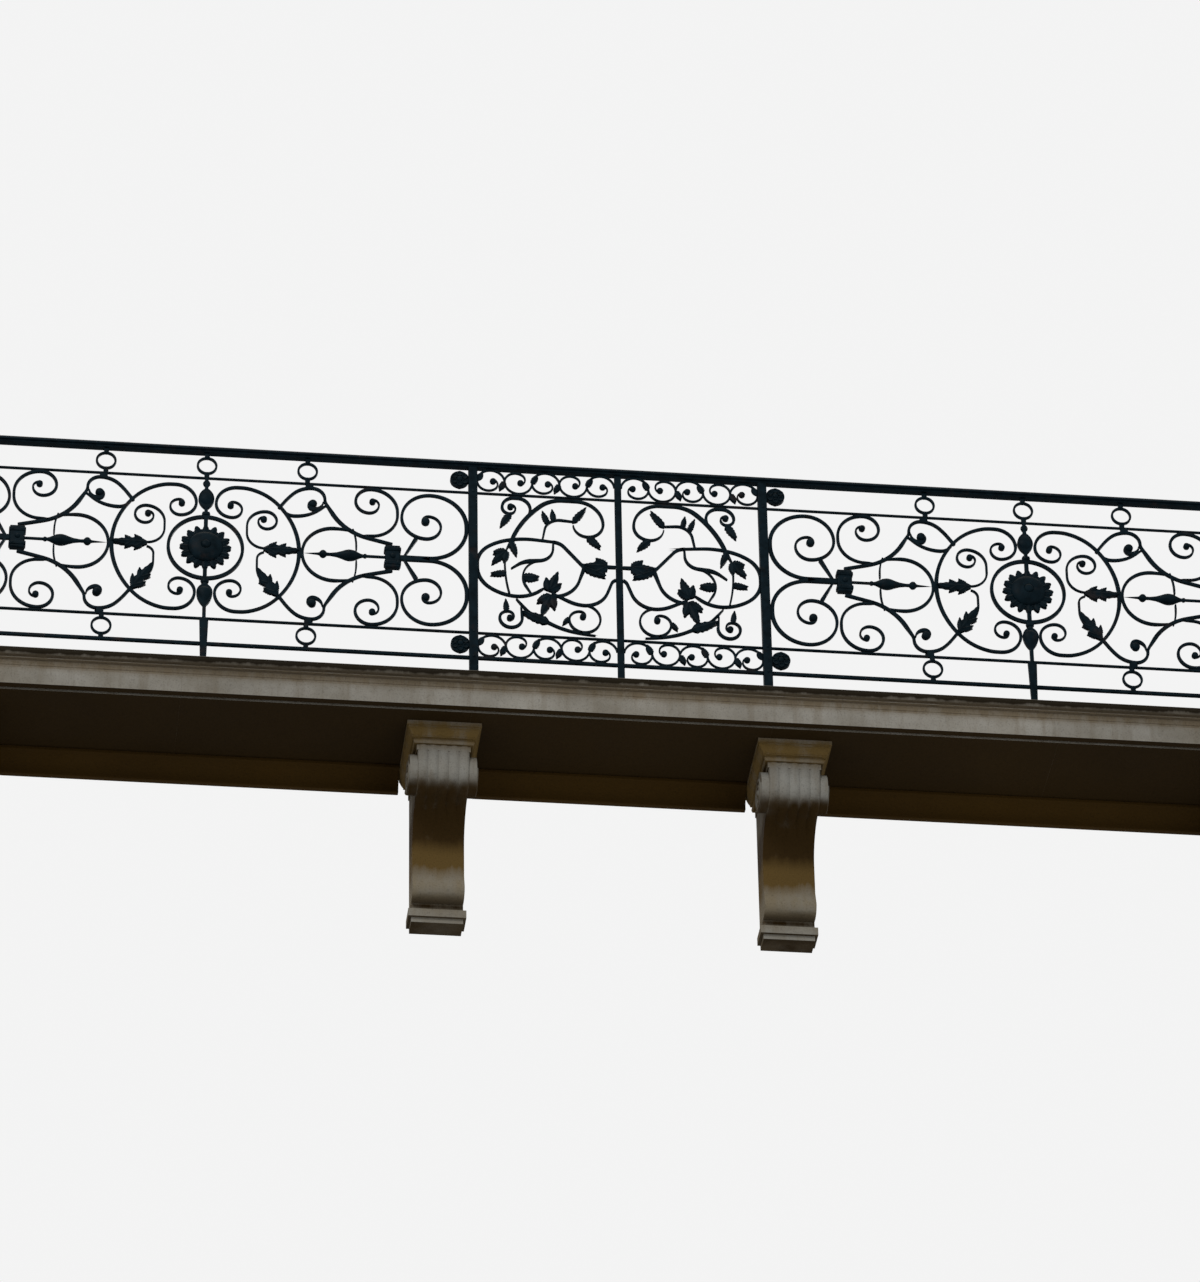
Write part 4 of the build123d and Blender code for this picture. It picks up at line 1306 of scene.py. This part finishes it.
@dataclass
class PierFriezes(Iron):
    """The running scrolls over and under the middle panel."""

    start: float = 14.0
    reach: float = 572.0
    waves: int = 5
    bar: float = 9.0
    eye: float = 13.0
    lift: float = 5.0
    runs: tuple = (("pier_upper_frieze", 906.5, 1024.0), ("pier_lower_frieze", 108.0, 217.5))
    coil: tuple = ((0.4, 130), (0.25, 110))
    leaf_lean: float = 28.0
    leaf_length: float = 44.0
    leaf_width: float = 24.0

    def build(self) -> None:
        """Builds and dresses both friezes."""
        faces = both_faces(0.0)
        for node, low, high in self.runs:
            eyes, spots = self._turns(low, high)
            eyes += [(-u, w, eye) for u, w, eye in eyes]
            spots += [spot.mirrored() for spot in spots]
            self.wrought(node, self.forge.garnish(faces, eyes, spots, self.lift))

    def _turns(self, low: float, high: float) -> tuple[list, list]:
        """The eye and the leaf in each turn of the right half.

        Args:
            low: the level of the rail below.
            high: the level of the rail above.

        Returns:
            The eyes and the leaves.
        """
        pitch = (self.reach - self.start) / self.waves
        rise = (high - low - self.bar) / 2
        swing = 4 * math.degrees(math.atan2(rise, pitch / 2))
        middle = (low + high) / 2 - PANEL_LEVEL
        eyes = []
        spots = []
        up = 1
        for index in range(1, self.waves + 1):
            turn = (self.start + index * pitch, middle)
            coil = tuple((pitch * share, -up * degrees) for share, degrees in self.coil)
            eyes.append(Bar(turn, -up * swing / 2, coil, eye=self.eye).eye_spot())
            if index < self.waves:
                spots.append(LeafSpot(*turn, 90 * up + self.leaf_lean, self.leaf_length, self.leaf_width))
            up = -up
        return [(u, w, eye) for u, w, eye in eyes if u < self.reach - eye], spots


@dataclass
class Returns(Iron):
    """The scrolled panels between the wall and the corners."""

    motif: float = 817.5
    collar: float = 750.0
    bars: tuple = oval_bars(130)
    rivet: float = 6.0

    def build(self) -> None:
        """Builds and dresses both returns."""
        eyes = eye_pairs(self.bars, self.motif)
        eyes += [(self.collar - self.motif + u, w, self.rivet) for u in (-18, 18) for w in (-32, 0, 32)]
        for side in SIDES:
            node = f"{side}_return_scrollwork"
            self.wrought(node, self.forge.bosses(return_faces(*middle_of(node)), eyes))


@dataclass
class Medallions(Iron):
    """The ringed rosettes in the middle of the long panels."""

    petals: int = 16
    petal_root: float = 62.0
    face: float = 6.0
    beads: int = 32
    bead_ring: float = 74.0
    bead: float = 4.0
    bead_lift: float = 7.0
    back: float = 44.0
    dome: tuple = (
        (-3.0, 70.5), (3.0, 70.5), (7.0, 68.5), (12.0, 63.5), (16.5, 55.0), (20.0, 44.0), (22.3, 32.0),
        (23.0, 21.0), (21.5, 19.5), (24.0, 18.5), (28.0, 15.0), (30.5, 9.0), (31.2, 0.4),
    )

    def build(self) -> None:
        """Builds and dresses both medallions."""
        outline = (0.5, 0.78, 0.95, 1.0, 0.94, 0.72, 0.30)
        petal = WroughtLeaf(
            length=0.041, width=0.026, thickness=0.003, rib=0.005, curl=0.003, profile=outline
        )
        roots = ring_of(self.petals, self.petal_root)
        beads = [(u, w, self.bead) for u, w, _ in ring_of(self.beads, self.bead_ring)]
        for side in SIDES:
            node = f"{side}_medallion"
            faces = both_faces(middle_of(node)[0])
            places = [face.place(u, w, heading, self.face) for face in faces for u, w, heading in roots]
            extras = self.forge.strike("petal", petal, places)
            extras += self.forge.bosses(faces[:1], beads, self.bead_lift)
            middle = [faces[0].place(0.0, 0.0, 0.0, self.face)]
            extras += self.forge.strike("dome", Turned(self.dome, sides=40), middle)
            extras += self.forge.bosses(faces[1:], [(0.0, 0.0, self.back)], self.face)
            self.wrought(node, extras)


@dataclass
class AxisOrnaments(Iron):
    """The vase, the bud and the drop on the medallions' axes."""

    depth: float = 0.62
    vase: tuple = (
        (186, 8), (190, 13), (196, 15), (202, 11), (208, 17), (218, 27), (230, 31.5), (240, 32), (252, 28),
        (266, 19), (278, 11), (288, 6),
    )
    drop: tuple = (
        (-288, 0.6), (-280, 6), (-262, 15), (-240, 26.5), (-224, 31.5), (-212, 32), (-202, 27), (-194, 17),
        (-190, 11), (-186, 15), (-181, 16), (-176, 12),
    )
    bud: tuple = ((297, 6), (300, 10), (305, 14), (312, 15.5), (319, 14), (324, 10), (327, 6))
    ring: tuple = ((-8, 12), (-6, 16), (0, 17.5), (6, 16), (8, 12))
    ring_levels: tuple = (163, -163)
    ring_depth: float = 0.8

    def build(self) -> None:
        """Builds and dresses both axes."""
        up = (0, 0, 1)
        for side in SIDES:
            node = f"{side}_axis_ornament"
            x, _ = middle_of(node)
            place = pointing((x, RAILING_Y, PANEL_MID), up, (1.0, self.depth, 1.0))
            extras = []
            for name, stations in (("vase", self.vase), ("drop", self.drop), ("bud", self.bud)):
                extras += self.forge.strike(name, Turned(stations, sides=24), [place])
            necks = [(x, RAILING_Y, PANEL_MID + level * MM) for level in self.ring_levels]
            rings = [pointing(neck, up, (1.0, self.ring_depth, 1.0)) for neck in necks]
            self.wrought(node, extras + self.forge.strike("neck_ring", Turned(self.ring), rings))


@dataclass
class Spears(Iron):
    """The turned rods on the long axes, each with a bulb, a ball and a point."""

    stations: tuple = (
        (394, 0.4), (424, 3.2), (450, 5.4), (456, 7), (459, 11), (464, 15.5), (471, 17.4), (478, 15.5),
        (483, 11), (486, 7.5), (500, 7), (526, 10.5), (546, 16.5), (560, 21.5), (572, 24), (582, 24),
        (596, 21.5), (610, 15), (622, 9.5), (632, 7), (637, 10), (643, 10), (647, 6.4), (720, 6.2),
    )

    def build(self) -> None:
        """Builds and dresses both pairs."""
        for side in SIDES:
            node = f"{side}_spears"
            spot = (middle_of(node)[0], RAILING_Y, PANEL_MID)
            places = [pointing(spot, (hand, 0, 0)) for hand in HANDS]
            pair = self.forge.strike("spear", Turned(self.stations), places)
            Bench.finish(Bench.join(pair, f"turned_{node}"), self.paint, Slot.IRON, node)


@dataclass
class Collars(Iron):
    """The blocks that bind the long bars, each with two riveted straps."""

    offset: float = 750.0
    strap: tuple = (68.0, 37.0, 17.0)
    strap_levels: tuple = (-33.0, 33.0)
    strap_edge: float = 0.003
    strap_rivets: tuple = (-20.0, 20.0)
    strap_rivet: float = 7.0
    rivet: float = 11.0
    face: float = 16.5

    def build(self) -> None:
        """Builds and dresses both pairs."""
        sizes = tuple(size * MM for size in self.strap)
        for side in SIDES:
            node = f"{side}_collars"
            x, _ = middle_of(node)
            rivets = []
            straps = []
            for hand in HANDS:
                for level in self.strap_levels:
                    spot = (x + hand * self.offset * MM, RAILING_Y, PANEL_MID + level * MM)
                    straps.append(Bench.block(spot, sizes, self.strap_edge, 3))
                    rivets += [(hand * self.offset + u, level, self.strap_rivet) for u in self.strap_rivets]
                rivets.append((hand * self.offset, 0.0, self.rivet))
            self.wrought(node, straps + self.forge.bosses(both_faces(x), rivets, self.face))


@dataclass
class FriezeRings(Iron):
    """The rings between the rails of the long panels, each tied by a collar above and below."""

    spacing: float = 406.0
    ring: float = 42.0
    sunk: float = 2.0
    tie: float = 6.5
    rows: tuple = ((UPPER_RINGS, (-1, 0, 1)), (LOWER_RINGS, (-1, 1)))

    def build(self) -> None:
        """Builds and dresses both sets."""
        ties = []
        for level, places in self.rows:
            for place in places:
                for hand in HANDS:
                    w = level - PANEL_LEVEL + hand * (self.ring - self.sunk)
                    ties.append((place * self.spacing, w, self.tie))
        for side in SIDES:
            faces = both_faces(middle_of(f"{side}_medallion")[0])
            self.wrought(f"{side}_frieze_rings", self.forge.bosses(faces, ties))


@dataclass
class PostRosettes(Iron):
    """The flowers beside the posts: six cupped petals round a boss."""

    posts: tuple = ((590.0, 1), (2740.0, -1))
    aside: float = 54.0
    boss: float = 12.5
    boss_lift: float = 10.0
    petals: int = 6
    petal_ring: float = 24.5
    petal_lift: float = 9.0
    cup: tuple = ((-3, 12), (2, 12.6), (5, 11.8), (6.2, 9.8), (4.6, 7.8), (1.6, 6.2), (0.9, 0.4))

    def build(self) -> None:
        """Builds and dresses the flowers."""
        places = []
        bosses = []
        faces = both_faces(0.0)
        petals = ring_of(self.petals, self.petal_ring, 0.5)
        for hand in HANDS:
            for post, away in self.posts:
                for level in (UPPER_RINGS, LOWER_RINGS):
                    u, w = hand * (post + away * self.aside), level - PANEL_LEVEL
                    bosses.append((u, w, self.boss))
                    for across, up, _ in petals:
                        places += [face.place(u + across, w + up, 0.0, self.petal_lift) for face in faces]
        cups = self.forge.strike("cup", Turned(self.cup, sides=14), places)
        self.wrought("post_rosettes", cups + self.forge.bosses(faces, bosses, self.boss_lift))


@dataclass
class Studio:
    """The floor, the lights, the world and the camera."""

    focal: float = 6758.3
    yaw: float = 7.211
    pitch: float = 34.0
    roll: float = -1.027
    place: tuple = (-2.889, -22.657, -14.780)
    sensor: float = 36.0
    clip: tuple = (0.1, 300.0)
    ground: float = -16.4
    ground_size: float = 160.0
    ground_colour: tuple = (0.78, 0.78, 0.78, 1.0)
    ground_roughness: float = 0.9
    sky: tuple = (0.97, 0.98, 1.0, 1.0)
    sky_strength: float = 0.5
    backdrop: tuple = (0.90, 0.90, 0.90, 1.0)
    aim: tuple = (0.0, -0.3, 0.2)
    lamps: tuple = (
        ("Key", (-8.0, -15.0, 10.0), 8.0, 2100.0),
        ("Fill", (9.0, -17.0, -6.0), 12.0, 500.0),
        ("Back", (7.0, 14.0, 9.0), 8.0, 900.0),
    )

    def build(self) -> None:
        """Sets the scene."""
        self._camera()
        self._floor()
        self._world()
        for lamp in self.lamps:
            self._light(*lamp)

    def _camera(self) -> None:
        """The camera, turned by the view's own angles."""
        yaw, pitch, roll = (math.radians(angle) for angle in (self.yaw, self.pitch, self.roll))
        forward = Vector((math.sin(yaw) * math.cos(pitch), math.cos(yaw) * math.cos(pitch), math.sin(pitch)))
        right = Vector((math.cos(yaw), -math.sin(yaw), 0.0))
        up = right.cross(forward)
        side = right * math.cos(roll) + up * math.sin(roll)
        head = up * math.cos(roll) - right * math.sin(roll)
        data = bpy.data.cameras.new("Camera")
        data.sensor_width = self.sensor
        data.lens = self.focal / max(IMAGE_WIDTH, IMAGE_HEIGHT) * self.sensor
        data.clip_start, data.clip_end = self.clip
        camera = Bench.add("Camera", data, placed((side, head, -forward), Vector(self.place)))
        bpy.context.scene.camera = camera

    def _floor(self) -> None:
        """A plain pale floor at street level."""
        Bench.clear()
        bpy.ops.mesh.primitive_plane_add(size=self.ground_size, location=(0.0, 0.0, self.ground))
        floor = bpy.context.object
        floor.name = "floor"
        pale, mixer = new_material("Floor")
        inputs = {"Base Color": self.ground_colour, "Roughness": self.ground_roughness}
        mixer.feed(mixer.nodes["Principled BSDF"], inputs)
        floor.data.materials.append(pale)

    def _world(self) -> None:
        """Soft light from all round, and a pale ground behind the object."""
        world = bpy.data.worlds.new("World")
        bpy.context.scene.world = world
        world.use_nodes = True
        mixer = Mixer(world.node_tree)
        mixer.nodes.clear()
        lit = mixer.add("ShaderNodeBackground", {"Color": self.sky, "Strength": self.sky_strength})
        seen = mixer.add("ShaderNodeBackground", {"Color": self.backdrop, "Strength": 1.0})
        rays = mixer.add("ShaderNodeLightPath").outputs
        direct = mixer.math("MAXIMUM", rays["Is Camera Ray"], rays["Is Transmission Ray"])
        direct = mixer.math("MAXIMUM", direct, rays["Is Glossy Ray"])
        mix = mixer.add("ShaderNodeMixShader", {0: direct, 1: lit.outputs[0], 2: seen.outputs[0]})
        mixer.add("ShaderNodeOutputWorld", {"Surface": mix.outputs[0]})

    def _light(self, name: str, place: tuple, size: float, power: float) -> None:
        """A square lamp that faces the balcony.

        Args:
            name: the lamp's name.
            place: where it hangs.
            size: its side in metres.
            power: its power in watts.
        """
        data = bpy.data.lights.new(name, "AREA")
        data.size = size
        data.energy = power
        turned = (Vector(self.aim) - Vector(place)).to_track_quat("-Z", "Y").to_matrix().to_4x4()
        Bench.add(name, data, Matrix.Translation(Vector(place)) @ turned)


def bands_from_low(rows: tuple) -> tuple[Band, ...]:
    """Bands of grime and of painted shade, each with its level in metres above the slab's lower edge."""
    return tuple(Band(SLAB_LOW + level, *band) for level, *band in rows)


def main() -> None:
    """Builds the balcony's looks and its studio."""
    bpy.context.scene.view_settings.view_transform = "Standard"
    crust = (0.0100, 0.0070, 0.0030, 1.0)
    umber = (0.125, 0.098, 0.064, 1.0)
    tread = (0.115, 0.104, 0.086, 1.0)
    # Painted shade for the ogee's grooves, laid as thin dark lines.
    groove_shade = (0.060, 0.045, 0.028, 1.0)
    shade = (0.0300, 0.0160, 0.0034, 1.0)
    deep_shade = (0.0360, 0.0185, 0.0028, 1.0)
    slab_bands = (
        Band(SLAB_TOP - 0.060, 0.060, 1.2, umber),
        Band(SLAB_TOP, 0.052, 3.4, crust),
        Band(SLAB_TOP, 0.003, 3.0, tread),
        # Two painted shade lines across the ogee and one under it, where the moulding's creases fall in
        # shade.
        *bands_from_low(((0.1140, 0.004, 0.9, groove_shade), (0.0940, 0.004, 0.9, groove_shade), (0.0795, 0.005, 1.0, shade))),
    )
    console_bands = bands_from_low((
        (-0.045, 0.085, 1.3, (0.132, 0.084, 0.0265, 1.0)),
        (-0.600, 0.160, 1.0, (0.165, 0.135, 0.088, 1.0)),
        (-0.440, 0.150, 2.2, (0.085, 0.052, 0.0150, 1.0)),
        (-0.328, 0.130, 2.0, shade),
        (-0.660, 0.022, 1.1, shade),
    ))
    carved = Limestone("LimestoneCarved", console_bands, (0.210, 0.206, 0.184, 1.0), under=1.2)
    # The bed mould's stone, darkened throughout by a broad band of painted shade under the slab.
    shade_and_grime = Limestone("LimestoneShaded", bands_from_low(((-0.060, 0.300, 3.0, deep_shade),)))
    paint = IronPaint().material()
    forge = Forge()
    Slab(Limestone("Limestone", slab_bands)).build()
    Consoles(carved, shade_and_grime, forge).build()
    front = (Frame, Medallions, WindowPanel, PierPanel, PierFriezes)
    for assembly in (*front, Returns, AxisOrnaments, Spears, Collars, FriezeRings, PostRosettes):
        assembly(paint, forge).build()
    forge.sweep()
    Studio().build()


if __name__ == "__main__":
    main()
